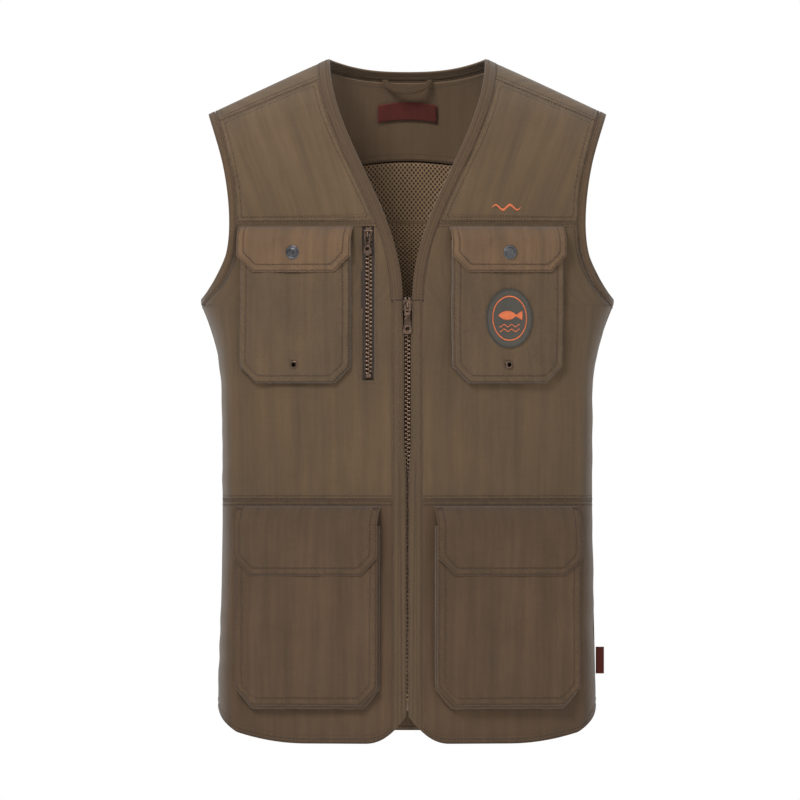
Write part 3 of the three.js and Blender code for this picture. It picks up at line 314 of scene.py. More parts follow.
def drape(side, x, z):
    """Outward lift of the front cloth in millimetres."""
    seed = 11 if side == "right" else 23
    x = np.asarray(x, dtype=float)
    z = np.asarray(z, dtype=float)
    calm = smooth(np.abs(z - WAIST_SEAM), 2, 34) * smooth(np.abs(z - CHEST_SEAM), 2, 34)
    calm = calm * smooth(x, 15, 44) * (1 - 0.55 * smooth(x, FLAT_END, FLAT_END + 30))
    hem = smooth(z, 4, 50)
    broad = waves(x, z, seed, 150, 60, 8) * 1.9
    slant = waves(x, z, seed + 1, 46, 20, 38) * 0.5
    level = waves(x, z, seed + 2, 60, 26, 82) * 0.4
    lift = np.minimum(calm * hem * (broad + slant + level), 1.5)
    if side == "left":
        return lift
    beyond = np.hypot(np.maximum(0, np.abs(x - CHEST_ZIP_AT) - 6), np.maximum(0, WINDOW[2] - 12 - z))
    free = np.where(z < WINDOW[2], smooth(beyond, 2, 18), 1.0)
    eased = lerp(1.0, free, smooth(WINDOW[2] - z, -6, 2))
    return lift * eased - 0.6 * (1 - eased)


# ---------------------------------------------------------------- meshes
def quads_of(rows, cols, keep=None):
    i, j = np.meshgrid(np.arange(rows - 1), np.arange(cols - 1), indexing="ij")
    if keep is not None:
        i, j = i[keep], j[keep]
    i, j = i.ravel(), j.ravel()
    return np.stack([i * cols + j, i * cols + j + 1, (i + 1) * cols + j + 1, (i + 1) * cols + j], -1)


def new_object(name, points, faces, maps, material):
    """A mesh object in metres. faces index points, and each map is given per corner."""
    mesh = bpy.data.meshes.new(name)
    faces = np.asarray(faces)
    mesh.vertices.add(len(points))
    mesh.vertices.foreach_set("co", np.asarray(points, dtype=np.float32).ravel())
    mesh.loops.add(faces.size)
    mesh.loops.foreach_set("vertex_index", faces.ravel().astype(np.int32))
    mesh.polygons.add(len(faces))
    mesh.polygons.foreach_set("loop_start", np.arange(0, faces.size, 4, dtype=np.int32))
    for title, values in maps.items():
        layer = mesh.uv_layers.new(name=title)
        layer.data.foreach_set("uv", np.asarray(values, dtype=np.float32).ravel())
    mesh.update(calc_edges=True)
    mesh.validate()
    mesh.shade_smooth()
    made = bpy.data.objects.new(name, mesh)
    bpy.context.scene.collection.objects.link(made)
    mesh.materials.append(material)
    return made


def grid_normals(points, towards):
    across = np.gradient(points, axis=1)
    along = np.gradient(points, axis=0)
    normal = np.cross(across, along)
    normal /= np.maximum(np.linalg.norm(normal, axis=-1, keepdims=True), 1e-9)
    if np.sum(normal * towards) < 0:
        normal = -normal
    return normal


def side_lengths(points):
    """Longest run across, longest run along, and area of a grid, in millimetres."""
    across = np.linalg.norm(np.diff(points, axis=1), axis=-1).sum(axis=1).max()
    along = np.linalg.norm(np.diff(points, axis=0), axis=-1).sum(axis=0).max()
    a = points[1:, 1:] - points[:-1, :-1]
    b = points[1:, :-1] - points[:-1, 1:]
    area = np.linalg.norm(np.cross(a, b), axis=-1).sum() / 2
    return across, along, area


def arc_map(points):
    """Distances across and along the cloth, in metres, for the weave."""
    across = np.linalg.norm(np.diff(points, axis=1), axis=-1)
    across = np.concatenate([np.zeros((len(points), 1)), across.cumsum(axis=1)], axis=1)
    along = np.linalg.norm(np.diff(points, axis=0), axis=-1).mean(axis=1)
    along = np.concatenate([[0], along.cumsum()])
    middle = across[:, -1:] / 2
    return np.stack([across - middle, np.broadcast_to(along[:, None], across.shape)], -1) / 1000


def edge_map(points, margins):
    """Distance to the nearest sewn edge and place along it, in metres. margins says which of
    first row, last row, first column, last column are sewn."""
    across = np.linalg.norm(np.diff(points, axis=1), axis=-1)
    across = np.concatenate([np.zeros((len(points), 1)), across.cumsum(axis=1)], axis=1)
    along = np.linalg.norm(np.diff(points, axis=0), axis=-1)
    along = np.concatenate([np.zeros((1, points.shape[1])), along.cumsum(axis=0)], axis=0)
    far = np.full(across.shape, 1e3)
    options = [along, along[-1:] - along, across, across[:, -1:] - across]
    for distance, sewn in zip(options, margins):
        if sewn:
            far = np.minimum(far, distance)
    return np.stack([far, across + along], -1) / 1000


def cloth_piece(name, outer, normals, thick, material, body="vest_body", keep=None, seam=None,
                margins=(1, 1, 1, 1), node=None, weave=None, wrap=False, flat=None):
    """A sewn cloth: a grid of outer points made a closed sheet of even thickness."""
    rows, cols = outer.shape[:2]
    inner = outer - normals * thick
    weave = arc_map(outer) if weave is None else weave
    seam = edge_map(outer, margins) if seam is None else seam
    if keep is not None and keep.shape != (rows - 1, cols - 1):
        raise ValueError(f"{name}: the mask of kept faces doesn't match the grid")
    top = quads_of(rows, cols, keep)
    flat_outer = outer.reshape(-1, 3)
    face_normal = np.cross(flat_outer[top[:, 2]] - flat_outer[top[:, 0]],
                           flat_outer[top[:, 3]] - flat_outer[top[:, 1]])
    if np.sum(face_normal * normals.reshape(-1, 3)[top[:, 0]]) < 0:
        top = top[:, ::-1]
    count = rows * cols
    owner = np.arange(count)
    if wrap:
        owner = owner.reshape(rows, cols)
        owner[-1] = owner[0]
        owner = owner.ravel()
    starts = top.ravel()
    ends = np.roll(top, -1, axis=1).ravel()
    code = owner[starts] * count + owner[ends]
    open_edge = ~np.isin(code, owner[ends] * count + owner[starts])
    a, b = starts[open_edge], ends[open_edge]
    walls = np.stack([b, a, a + count, b + count], -1)
    faces = np.concatenate([top, top[:, ::-1] + count, walls])
    both = np.concatenate([flat_outer, inner.reshape(-1, 3)])
    uv = {title: np.concatenate([m.reshape(-1, 2)] * 2)[faces]
          for title, m in (("weave", weave), ("seam", seam))}
    real = np.concatenate([owner, owner + count])[faces]
    used, real = np.unique(real, return_inverse=True)
    made = new_object(name, to_metres(both[used]), real.reshape(faces.shape), uv, material)
    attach(made, body)
    if node:
        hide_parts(node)
    across, along, area = side_lengths(outer)
    if keep is not None:
        a = outer[1:, 1:] - outer[:-1, :-1]
        b = outer[1:, :-1] - outer[:-1, 1:]
        area = (np.linalg.norm(np.cross(a, b), axis=-1) * keep).sum() / 2
    width, length, cut = flat or (across, along, area)
    min(width * length, cut) / 1e6
    return made


def mirrored(points, side):
    return points * np.array([SIDES[side], 1, 1])


# ---------------------------------------------------------------- material groups
def linear(colour):
    return tuple(c / 12.92 if c <= 0.04045 else ((c + 0.055) / 1.055) ** 2.4 for c in colour[:3]) + (1.0,)


class Graph:
    """A node tree with short calls for adding and joining nodes."""

    def __init__(self, tree):
        self.tree = tree
        self.tree.nodes.clear()

    def node(self, kind, feeds=None, **settings):
        made = self.tree.nodes.new(kind)
        for key, value in settings.items():
            setattr(made, key, value)
        for key, value in (feeds or {}).items():
            if isinstance(value, bpy.types.NodeSocket):
                self.tree.links.new(value, made.inputs[key])
            else:
                made.inputs[key].default_value = value
        return made

    def maths(self, operation, a, b=0.0, c=0.0):
        return self.node("ShaderNodeMath", {0: a, 1: b, 2: c}, operation=operation).outputs[0]

    def noise(self, vector, scale, detail=2.0, rough=0.5, stretch=(1, 1, 1), place=(0, 0, 0)):
        turned = self.node("ShaderNodeMapping", {"Vector": vector, "Scale": stretch, "Location": place})
        made = self.node("ShaderNodeTexNoise", {"Vector": turned.outputs[0], "Scale": scale, "Detail": detail,
                                                "Roughness": rough})
        return made.outputs["Fac"]

    def mapped(self, value, low, high, to_low, to_high):
        return self.node("ShaderNodeMapRange", {"Value": value, "From Min": low, "From Max": high,
                                                "To Min": to_low, "To Max": to_high}).outputs["Result"]


def group(name, inputs, outputs):
    """A shader node group with its sockets; gives the graph, its inputs and its end node."""
    tree = bpy.data.node_groups.new(name, "ShaderNodeTree")
    for title, kind, value in inputs:
        socket = tree.interface.new_socket(name=title, in_out="INPUT", socket_type=kind)
        if value is not None:
            socket.default_value = value
    for title in outputs:
        tree.interface.new_socket(name=title, in_out="OUTPUT", socket_type="NodeSocketFloat")
    graph = Graph(tree)
    start = graph.node("NodeGroupInput")
    end = graph.node("NodeGroupOutput")
    return graph, start.outputs, end


VECTOR, NUMBER = "NodeSocketVector", "NodeSocketFloat"


def weave_group():
    """Plain weave: warp and weft threads over and under each other, with slubs."""
    g, start, end = group("plain weave", [("Vector", VECTOR, None), ("Thread", NUMBER, 0.0006)],
                          ["Height", "Shade"])
    split = g.node("ShaderNodeSeparateXYZ", {0: start["Vector"]})
    turns = g.maths("DIVIDE", math.pi, start["Thread"])
    warp = g.maths("SINE", g.maths("MULTIPLY", split.outputs[0], turns))
    weft = g.maths("SINE", g.maths("MULTIPLY", split.outputs[1], turns))
    checker = g.maths("MULTIPLY", warp, weft)
    slub = g.noise(start["Vector"], 900.0, 1.0, 0.5, (1, 0.05, 1))
    cross_slub = g.noise(start["Vector"], 700.0, 1.0, 0.5, (0.06, 1, 1))
    height = g.maths("MULTIPLY_ADD", checker, 0.5, g.maths("MULTIPLY", g.maths("ADD", slub, cross_slub), 0.7))
    g.tree.links.new(height, end.inputs["Height"])
    shade = g.maths("ADD", g.maths("MULTIPLY", slub, 0.62), g.maths("MULTIPLY", cross_slub, 0.38))
    g.tree.links.new(shade, end.inputs["Shade"])
    return g.tree


def fade_group():
    """Washed cloth: broad uneven fading, upright streaks and small crinkles."""
    g, start, end = group("washed cloth", [("Vector", VECTOR, None), ("Broad", NUMBER, 9.0),
                                           ("Streak", NUMBER, 90.0), ("Crinkle", NUMBER, 60.0)],
                          ["Fade", "Streaks", "Crinkles"])
    broad = g.noise(start["Vector"], 1.0, 3.0, 0.55)
    broad_node = broad.node
    g.tree.links.new(start["Broad"], broad_node.inputs["Scale"])
    streak = g.noise(start["Vector"], 1.0, 2.0, 0.6, (1, 0.05, 1), (3, 1, 0))
    g.tree.links.new(start["Streak"], streak.node.inputs["Scale"])
    crinkle = g.noise(start["Vector"], 1.0, 4.0, 0.62, (1, 0.7, 1), (7, 4, 0))
    crinkle.node.inputs["Distortion"].default_value = 0.6
    g.tree.links.new(start["Crinkle"], crinkle.node.inputs["Scale"])
    g.tree.links.new(g.mapped(broad, 0.28, 0.72, 0, 1), end.inputs["Fade"])
    g.tree.links.new(g.mapped(streak, 0.3, 0.7, 0, 1), end.inputs["Streaks"])
    g.tree.links.new(crinkle, end.inputs["Crinkles"])
    return g.tree


def seam_group():
    """Sewn edge: two stitched furrows at set distances from the edge, puckered between."""
    g, start, end = group("sewn edge", [("Seam", VECTOR, None), ("First", NUMBER, 0.0015),
                                        ("Second", NUMBER, 0.007), ("Pitch", NUMBER, 0.0034)],
                          ["Furrow", "Pucker", "Edge"])
    split = g.node("ShaderNodeSeparateXYZ", {0: start["Seam"]})
    far, along = split.outputs[0], split.outputs[1]
    furrows = []
    for title in ("First", "Second"):
        off = g.maths("ABSOLUTE", g.maths("SUBTRACT", far, start[title]))
        near = g.node("ShaderNodeMapRange", {"Value": off, "From Min": 0.0, "From Max": 0.0011, "To Min": 1.0,
                                             "To Max": 0.0}, interpolation_type="SMOOTHSTEP")
        furrows.append(near.outputs["Result"])
    beat = g.maths("SINE", g.maths("MULTIPLY", g.maths("DIVIDE", along, start["Pitch"]), 2 * math.pi))
    depth = g.maths("MULTIPLY_ADD", beat, 0.42, 0.58)
    furrow = g.maths("MULTIPLY", g.maths("MAXIMUM", furrows[0], furrows[1]), depth)
    g.tree.links.new(furrow, end.inputs["Furrow"])
    band = g.node("ShaderNodeMapRange", {"Value": far, "From Min": g.maths("ADD", start["Second"], 0.0012),
                                         "From Max": g.maths("ADD", start["Second"], 0.0042), "To Min": 1.0,
                                         "To Max": 0.0}, interpolation_type="SMOOTHSTEP").outputs["Result"]
    ripple = g.noise(start["Seam"], 330.0, 2.0, 0.6, (0.45, 1, 1))
    g.tree.links.new(g.maths("MULTIPLY", g.maths("SUBTRACT", ripple, 0.5), band), end.inputs["Pucker"])
    edge = g.node("ShaderNodeMapRange", {"Value": far, "From Min": 0.0, "From Max": 0.0012, "To Min": 1.0,
                                         "To Max": 0.0}).outputs["Result"]
    g.tree.links.new(edge, end.inputs["Edge"])
    return g.tree


def metal_group():
    """Cast metal: rubbed bright on proud places, dull and mottled elsewhere."""
    g, start, end = group("rubbed metal", [("Vector", VECTOR, None)], ["Rub", "Mottle", "Height"])
    mottle = g.noise(start["Vector"], 420.0, 3.0, 0.6)
    fine = g.noise(start["Vector"], 2600.0, 2.0, 0.5)
    proud = g.node("ShaderNodeNewGeometry").outputs["Pointiness"]
    rub = g.mapped(g.maths("MULTIPLY_ADD", g.maths("SUBTRACT", mottle, 0.5), 0.05, proud), 0.5, 0.58, 0, 1)
    g.tree.links.new(rub, end.inputs["Rub"])
    g.tree.links.new(g.mapped(mottle, 0.3, 0.7, 0, 1), end.inputs["Mottle"])
    g.tree.links.new(fine, end.inputs["Height"])
    return g.tree


def shader_base(name, roughness, metallic=0.0):
    material = bpy.data.materials.new(name)
    material.use_nodes = True
    g = Graph(material.node_tree)
    shader = g.node("ShaderNodeBsdfPrincipled", {"Roughness": roughness, "Metallic": metallic})
    out = g.node("ShaderNodeOutputMaterial")
    g.tree.links.new(shader.outputs[0], out.inputs[0])
    return material, g, shader


def shifted(colour, factor, warm=0.0):
    red, green, blue = colour[:3]
    return (min(1, red * factor * (1 + warm)), min(1, green * factor), min(1, blue * factor * (1 - warm)))


def mix(g, factor, a, b, blend="MIX"):
    made = g.node("ShaderNodeMix", data_type="RGBA", blend_type=blend)
    for key, value in ((0, factor), (6, a), (7, b)):
        if isinstance(value, bpy.types.NodeSocket):
            g.tree.links.new(value, made.inputs[key])
        else:
            made.inputs[key].default_value = value
    return made.outputs[2]


def cloth_material(name, colour, groups, thread=0.0006, first=0.0015, second=0.007, crinkle=0.35, weave=0.3,
                   streak=0.5, furrow=1.0, contrast=0.1, sheen=0.12):
    """Woven cloth: washed fading, streaks, seams, painted shade in stitch furrows, painted light and shade on
    puckers.
    """
    material, g, shader = shader_base(name, 0.86)
    shader.inputs["Sheen Weight"].default_value = sheen
    shader.inputs["Sheen Roughness"].default_value = 0.55
    shader.inputs["Specular IOR Level"].default_value = 0.22
    plan = g.node("ShaderNodeUVMap", uv_map="weave").outputs[0]
    seam = g.node("ShaderNodeUVMap", uv_map="seam").outputs[0]
    grain = g.node("ShaderNodeGroup", node_tree=groups["weave"])
    g.tree.links.new(plan, grain.inputs["Vector"])
    grain.inputs["Thread"].default_value = thread
    wash = g.node("ShaderNodeGroup", node_tree=groups["fade"])
    g.tree.links.new(plan, wash.inputs["Vector"])
    sewn = g.node("ShaderNodeGroup", node_tree=groups["seam"])
    g.tree.links.new(seam, sewn.inputs["Seam"])
    sewn.inputs["First"].default_value = first
    sewn.inputs["Second"].default_value = second
    tone = g.maths("MULTIPLY_ADD", wash.outputs["Streaks"], streak, g.maths(
        "MULTIPLY", wash.outputs["Fade"], 1 - streak))
    tone = g.maths("ADD", g.maths("MULTIPLY", tone, 0.72), g.maths("MULTIPLY", grain.outputs["Shade"], 0.28))
    base = mix(g, tone, linear(shifted(colour, 1 - contrast, -0.005)),
               linear(shifted(colour, 1 + contrast, 0.01)))
    rubbed = mix(g, g.maths("MULTIPLY", sewn.outputs["Edge"], 0.3), base, linear(shifted(colour, 1.16, 0.02)))
    # painted shade: the colour is darkened along the stitched furrows, for the shadow in the needle holes and
    # grooves
    dark = g.maths("MULTIPLY", sewn.outputs["Furrow"], 0.8 * furrow)
    final = mix(g, dark, rubbed, linear(shifted(colour, 0.5, 0.08)))
    # painted light and shade: the puckers are coloured lighter where they rise and darker where they sink,
    # following their bump
    pucker_light_and_shade = g.mapped(sewn.outputs["Pucker"], -0.25, 0.25, 0.0, 1.0)
    final = mix(g, 0.5 * min(furrow, 1.0), final,
                mix(g, pucker_light_and_shade, (0.36, 0.36, 0.36, 1), (0.64, 0.64, 0.64, 1)), "OVERLAY")
    g.tree.links.new(final, shader.inputs["Base Color"])
    g.tree.links.new(g.mapped(grain.outputs["Shade"], 0.3, 0.7, 0.92, 0.78), shader.inputs["Roughness"])
    height = g.maths("MULTIPLY", grain.outputs["Height"], 0.00012 * weave)
    height = g.maths("ADD", height, g.maths("MULTIPLY", wash.outputs["Crinkles"], 0.0022 * crinkle))
    height = g.maths("ADD", height, g.maths("MULTIPLY", sewn.outputs["Pucker"], 0.0011 * furrow))
    height = g.maths("SUBTRACT", height, g.maths("MULTIPLY", sewn.outputs["Furrow"], 0.00055 * furrow))
    bump = g.node("ShaderNodeBump", {"Strength": 1.0, "Distance": 1.0, "Height": height})
    g.tree.links.new(bump.outputs[0], shader.inputs["Normal"])
    return material


def net_material(name, colour, groups):
    """Knitted net: rows of staggered holes painted dark, partly the shell's dark cloth behind them and partly
    painted shade.
    """
    material, g, shader = shader_base(name, 0.9)
    plan = g.node("ShaderNodeUVMap", uv_map="weave").outputs[0]
    turned = g.node("ShaderNodeMapping", {"Vector": plan, "Rotation": (0, 0, math.radians(45))})
    split = g.node("ShaderNodeSeparateXYZ", {0: turned.outputs[0]})
    turns = 2 * math.pi / 0.0066
    hole = g.maths("MULTIPLY", g.maths("SINE", g.maths("MULTIPLY", split.outputs[0], turns)),
                   g.maths("SINE", g.maths("MULTIPLY", split.outputs[1], turns)))
    hole = g.node("ShaderNodeMapRange",
                  {"Value": g.maths("ABSOLUTE", hole), "From Min": 0.3, "From Max": 0.62,
                                         "To Min": 0.0, "To Max": 1.0}, interpolation_type="SMOOTHSTEP")
    hole = hole.outputs["Result"]
    wash = g.node("ShaderNodeGroup", node_tree=groups["fade"])
    g.tree.links.new(plan, wash.inputs["Vector"])
    base = mix(g, wash.outputs["Fade"], linear(shifted(colour, 1.02)), linear(shifted(colour, 1.22)))
    # painted shade: the holes get a dark colour for the shell's dark cloth seen in shade through the net
    g.tree.links.new(mix(g, hole, base, linear(shifted(colour, 0.42))), shader.inputs["Base Color"])
    height = g.maths("MULTIPLY", hole, -0.0005)
    height = g.maths("ADD", height, g.maths("MULTIPLY", wash.outputs["Crinkles"], 0.0008))
    bump = g.node("ShaderNodeBump", {"Strength": 1.0, "Distance": 1.0, "Height": height})
    g.tree.links.new(bump.outputs[0], shader.inputs["Normal"])
    return material


def metal_material(name, colour, groups, roughness, brighter):
    material, g, shader = shader_base(name, roughness, 0.9)
    place = g.node("ShaderNodeTexCoord").outputs["Object"]
    worn = g.node("ShaderNodeGroup", node_tree=groups["metal"])
    g.tree.links.new(place, worn.inputs["Vector"])
    dull = mix(g, worn.outputs["Mottle"], linear(shifted(colour, 0.8)), linear(shifted(colour, 1.15)))
    g.tree.links.new(mix(g, worn.outputs["Rub"], dull, linear(shifted(colour, brighter))),
                     shader.inputs["Base Color"])
    g.tree.links.new(g.mapped(worn.outputs["Mottle"], 0, 1, roughness - 0.07, roughness + 0.12),
                     shader.inputs["Roughness"])
    bump = g.node("ShaderNodeBump", {"Strength": 0.25, "Distance": 0.0002, "Height": worn.outputs["Height"]})
    g.tree.links.new(bump.outputs[0], shader.inputs["Normal"])
    return material


def thread_material(name, colour, roughness=0.7):
    """Twisted thread, with painted shade in its hollows."""
    material, g, shader = shader_base(name, roughness)
    place = g.node("ShaderNodeTexCoord").outputs["Object"]
    twist_relief = g.noise(place, 1500.0, 2.0, 0.6)
    # painted shade: the colour follows the bump, darker in the hollows of the twist
    shade = mix(g, g.mapped(twist_relief, 0.3, 0.7, 0, 1), linear(shifted(colour, 0.76)),
                linear(shifted(colour, 1.2)))
    g.tree.links.new(shade, shader.inputs["Base Color"])
    g.tree.links.new(g.mapped(twist_relief, 0.3, 0.7, roughness - 0.1, roughness + 0.1), shader.inputs["Roughness"])
    bump = g.node("ShaderNodeBump", {"Strength": 0.5, "Distance": 0.0002, "Height": twist_relief})
    g.tree.links.new(bump.outputs[0], shader.inputs["Normal"])
    return material


def tape_material(name, colour):
    """Herringbone zip tape, with painted light and shade on its ribs."""
    material, g, shader = shader_base(name, 0.88)
    place = g.node("ShaderNodeTexCoord").outputs["Object"]
    split = g.node("ShaderNodeSeparateXYZ", {0: place})
    zig = g.maths("PINGPONG", g.maths("MULTIPLY", split.outputs[0], 1.0), 0.0012)
    rib = g.maths("SINE", g.maths("MULTIPLY", g.maths("ADD", split.outputs[2], zig), 2 * math.pi / 0.0009))
    shade = g.mapped(rib, -1, 1, 0, 1)
    # painted light and shade: the colour follows the rib bump, lighter on the crests and darker in the
    # grooves
    g.tree.links.new(mix(g, shade, linear(shifted(colour, 0.78)), linear(shifted(colour, 1.16))),
                     shader.inputs["Base Color"])
    bump = g.node("ShaderNodeBump", {"Strength": 0.6, "Distance": 0.0002, "Height": shade})
    g.tree.links.new(bump.outputs[0], shader.inputs["Normal"])
    return material


# ---------------------------------------------------------------- what a user may change
class VestSizes(bpy.types.PropertyGroup):
    """Sizes of the sewing and of the grids that the cloth is built on."""

    stitch_length: bpy.props.FloatProperty(
        name="Stitch length", description="Length of one stitch that shows", default=0.0022, unit="LENGTH")
    stitch_pitch: bpy.props.FloatProperty(
        name="Stitch pitch", description="From one stitch to the next", default=0.0034, unit="LENGTH")
    thread: bpy.props.FloatProperty(
        name="Thread", description="Thickness of the sewing thread", default=0.00072, unit="LENGTH")
    grid: bpy.props.FloatProperty(
        name="Cloth grid", description="Spacing of the cloth's grid", default=0.0034, unit="LENGTH")
    fold: bpy.props.FloatProperty(
        name="Folds", description="Strength of the soft folds in the cloth", default=1.0, min=0, max=1.3)
    metal_edge: bpy.props.FloatProperty(
        name="Metal edge", description="Rounding of the edges of sliders and pulls", default=0.0003,
        unit="LENGTH")


def colour_property(title, words, value):
    return bpy.props.FloatVectorProperty(name=title, description=words, default=value, size=3, min=0, max=1,
                                         subtype="COLOR_GAMMA")


class VestColours(bpy.types.PropertyGroup):
    """Colours of the cloths, threads and metals."""

    shell: colour_property("Shell", "Main cloth of the chest and back", (0.301, 0.239, 0.170))
    yoke: colour_property("Yoke", "Cloth of the shoulders", (0.322, 0.258, 0.186))
    flap: colour_property("Flaps", "Cloth of the chest flaps, a little redder", (0.352, 0.274, 0.2))
    skirt: colour_property("Skirt", "Cloth below the waist, a shade darker", (0.275, 0.211, 0.149))
    trim: colour_property("Pockets", "Cloth of pockets and flaps", (0.305, 0.244, 0.178))
    band: colour_property("Bindings", "Neck and armhole bindings", (0.302, 0.236, 0.168))
    lining: colour_property("Facing", "Plain facing inside the yoke", (0.38, 0.306, 0.232))
    net: colour_property("Net", "Net lining", (0.515, 0.415, 0.305))
    # the stitch colour is darker than the thread's reddish brown: partly the thread's own colour, partly
    # painted shade of the needle holes and puckers
    stitch: colour_property("Stitches", "Sewing thread", (0.29, 0.2, 0.145))
    brass: colour_property("Brass", "Old brass of the zips and eyelets", (0.25, 0.205, 0.175))
    gunmetal: colour_property("Stud", "Blackened metal of the press studs", (0.27, 0.27, 0.28))
    tape: colour_property("Zip tape", "Woven tape of the zips", (0.17, 0.125, 0.095))
    label: colour_property("Label", "Woven neck label", (0.33, 0.13, 0.1))
    label_thread: colour_property("Label thread", "Stitches of the label", (0.78, 0.72, 0.64))
    badge: colour_property("Badge", "Ground of the badge", (0.262, 0.25, 0.228))
    motif: colour_property("Embroidery", "Bright embroidery thread", (0.8, 0.42, 0.25))


MATERIALS = {}


def make_materials(colours):
    groups = {"weave": weave_group(), "fade": fade_group(), "seam": seam_group(), "metal": metal_group()}
    MATERIALS["shell"] = cloth_material("shell_cloth", colours.shell, groups, first=0.0012, second=0.0046,
                                        crinkle=0.42, contrast=0.19)
    MATERIALS["skirt"] = cloth_material("skirt_cloth", colours.skirt, groups, first=0.0012, second=0.0049,
                                        crinkle=0.42, contrast=0.19)
    MATERIALS["yoke"] = cloth_material("yoke_cloth", colours.yoke, groups, first=0.0012, second=0.006,
                                       crinkle=0.4, contrast=0.19)
    MATERIALS["pocket"] = cloth_material("pocket_cloth", colours.trim, groups, first=0.0015, second=0.008,
                                         crinkle=2.1, contrast=0.22)
    MATERIALS["flap"] = cloth_material("flap_cloth", colours.flap, groups, first=0.0015, second=0.008,
                                       crinkle=1.5, contrast=0.22)
    MATERIALS["lower_pocket"] = cloth_material("lower_pocket_cloth", colours.skirt, groups, first=0.0015,
                                               second=0.008, crinkle=0.9, contrast=0.22)
    MATERIALS["band"] = cloth_material("binding_cloth", colours.band, groups, first=0.0014, second=0.0046,
                                       crinkle=0.2, furrow=0.6)
    MATERIALS["placket"] = cloth_material("placket_cloth", colours.shell, groups, first=0.0014, second=0.0075,
                                          crinkle=0.2, furrow=0.7)
    MATERIALS["facing"] = cloth_material("facing_cloth", colours.lining, groups, crinkle=0.2, furrow=0.5)
    MATERIALS["net"] = net_material("net_lining", colours.net, groups)
    MATERIALS["label"] = cloth_material("label_cloth", colours.label, groups, thread=0.0009, furrow=0.2,
                                        weave=1.2, crinkle=0.1)
    MATERIALS["badge"] = cloth_material("badge_felt", colours.badge, groups, thread=0.0009, furrow=0.15,
                                        weave=1.4, crinkle=0.1)
    MATERIALS["stitch"] = thread_material("sewing_thread", colours.stitch)
    MATERIALS["light_stitch"] = thread_material("label_thread", colours.label_thread)
    MATERIALS["motif"] = thread_material("embroidery_thread", colours.motif, 0.55)
    MATERIALS["brass"] = metal_material("old_brass", colours.brass, groups, 0.36, 1.9)
    MATERIALS["gunmetal"] = metal_material("blackened_metal", colours.gunmetal, groups, 0.34, 1.6)
    MATERIALS["badge_thread"] = thread_material("badge_edge_thread", shifted(colours.badge, 0.85))
    MATERIALS["tape_cloth"] = cloth_material("fastener_tape", colours.tape, groups, thread=0.0011, weave=3.0,
                                             furrow=0.2, crinkle=0.3)
    MATERIALS["tape"] = tape_material("zip_tape", colours.tape)


def sizes():
    return bpy.context.scene.vest_sizes


def colours():
    return bpy.context.scene.vest_colours


def steps(length):
    """Number of grid steps along a length in millimetres."""
    return max(2, int(round(length / (sizes().grid * 1000))))


# ---------------------------------------------------------------- stitches
def stitches(name, runs, body="vest_body", material="stitch", lift=0.12, pitch=None, length=None, thick=None):
    """Separate stitches along runs of (points, normals) in millimetres, as one piece."""
    pitch = pitch or sizes().stitch_pitch * 1000
    length = length or sizes().stitch_length * 1000
    radius = (thick or sizes().thread * 1000) / 2
    centres, heads, ups = [], [], []
    for points, normals in runs:
        points, normals = np.asarray(points, dtype=float), np.asarray(normals, dtype=float)
        run = np.concatenate([[0], np.linalg.norm(np.diff(points, axis=0), axis=-1).cumsum()])
        count = int(run[-1] // pitch)
        if count < 1:
            continue
        at = (np.arange(count) + 0.5) * (run[-1] / count)
        place = np.stack([np.interp(at, run, points[:, k]) for k in range(3)], -1)
        ahead = np.stack([np.interp(at + 0.5, run, points[:, k]) - np.interp(at - 0.5, run, points[:, k])
                          for k in range(3)], -1)
        up = np.stack([np.interp(at, run, normals[:, k]) for k in range(3)], -1)
        centres.append(place + up * lift)
        heads.append(ahead / np.maximum(np.linalg.norm(ahead, axis=-1, keepdims=True), 1e-9))
        ups.append(up / np.linalg.norm(up, axis=-1, keepdims=True))
    centres, heads, ups = (np.concatenate(v) for v in (centres, heads, ups))
    side = np.cross(heads, ups)
    along = np.array([-0.5, -0.32, 0.32, 0.5]) * length
    fat = np.array([0.35, 1.0, 1.0, 0.35]) * radius
    dip = np.array([-0.55, 0.0, 0.0, -0.55]) * radius
    turn = np.radians([45, 135, 225, 315])
    ring = np.stack([np.cos(turn), np.sin(turn)], -1)
    shape = (centres[:, None, None] + heads[:, None, None] * along[None, :, None, None]
             + ups[:, None, None] * dip[None, :, None, None]
             + side[:, None, None] * (fat[:, None] * ring[:, 0])[None, :, :, None]
             + ups[:, None, None] * (fat[:, None] * ring[:, 1])[None, :, :, None])
    faces = []
    for r in range(3):
        for k in range(4):
            faces.append([r * 4 + k, r * 4 + (k + 1) % 4, (r + 1) * 4 + (k + 1) % 4, (r + 1) * 4 + k])
    faces += [[3, 2, 1, 0], [12, 13, 14, 15]]
    faces = (np.array(faces)[None] + (np.arange(len(centres)) * 16)[:, None, None]).reshape(-1, 4)
    made = new_object(name, to_metres(shape.reshape(-1, 3)), faces, {}, MATERIALS[material])
    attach(made, body)
    return made


def surface_run(surface, u, v, side="left"):
    """A run along a torso surface, lifted with the drape on the front."""
    u, v = np.broadcast_arrays(np.asarray(u, dtype=float), np.asarray(v, dtype=float))
    points = SURFACES[surface][0](u, v)
    normals = normals_of(surface, u, v)
    if surface == "front":
        points = points + normals * (drape(side, points[:, 0], points[:, 2]) * sizes().fold)[:, None]
    return mirrored(points, side), mirrored(normals, side)


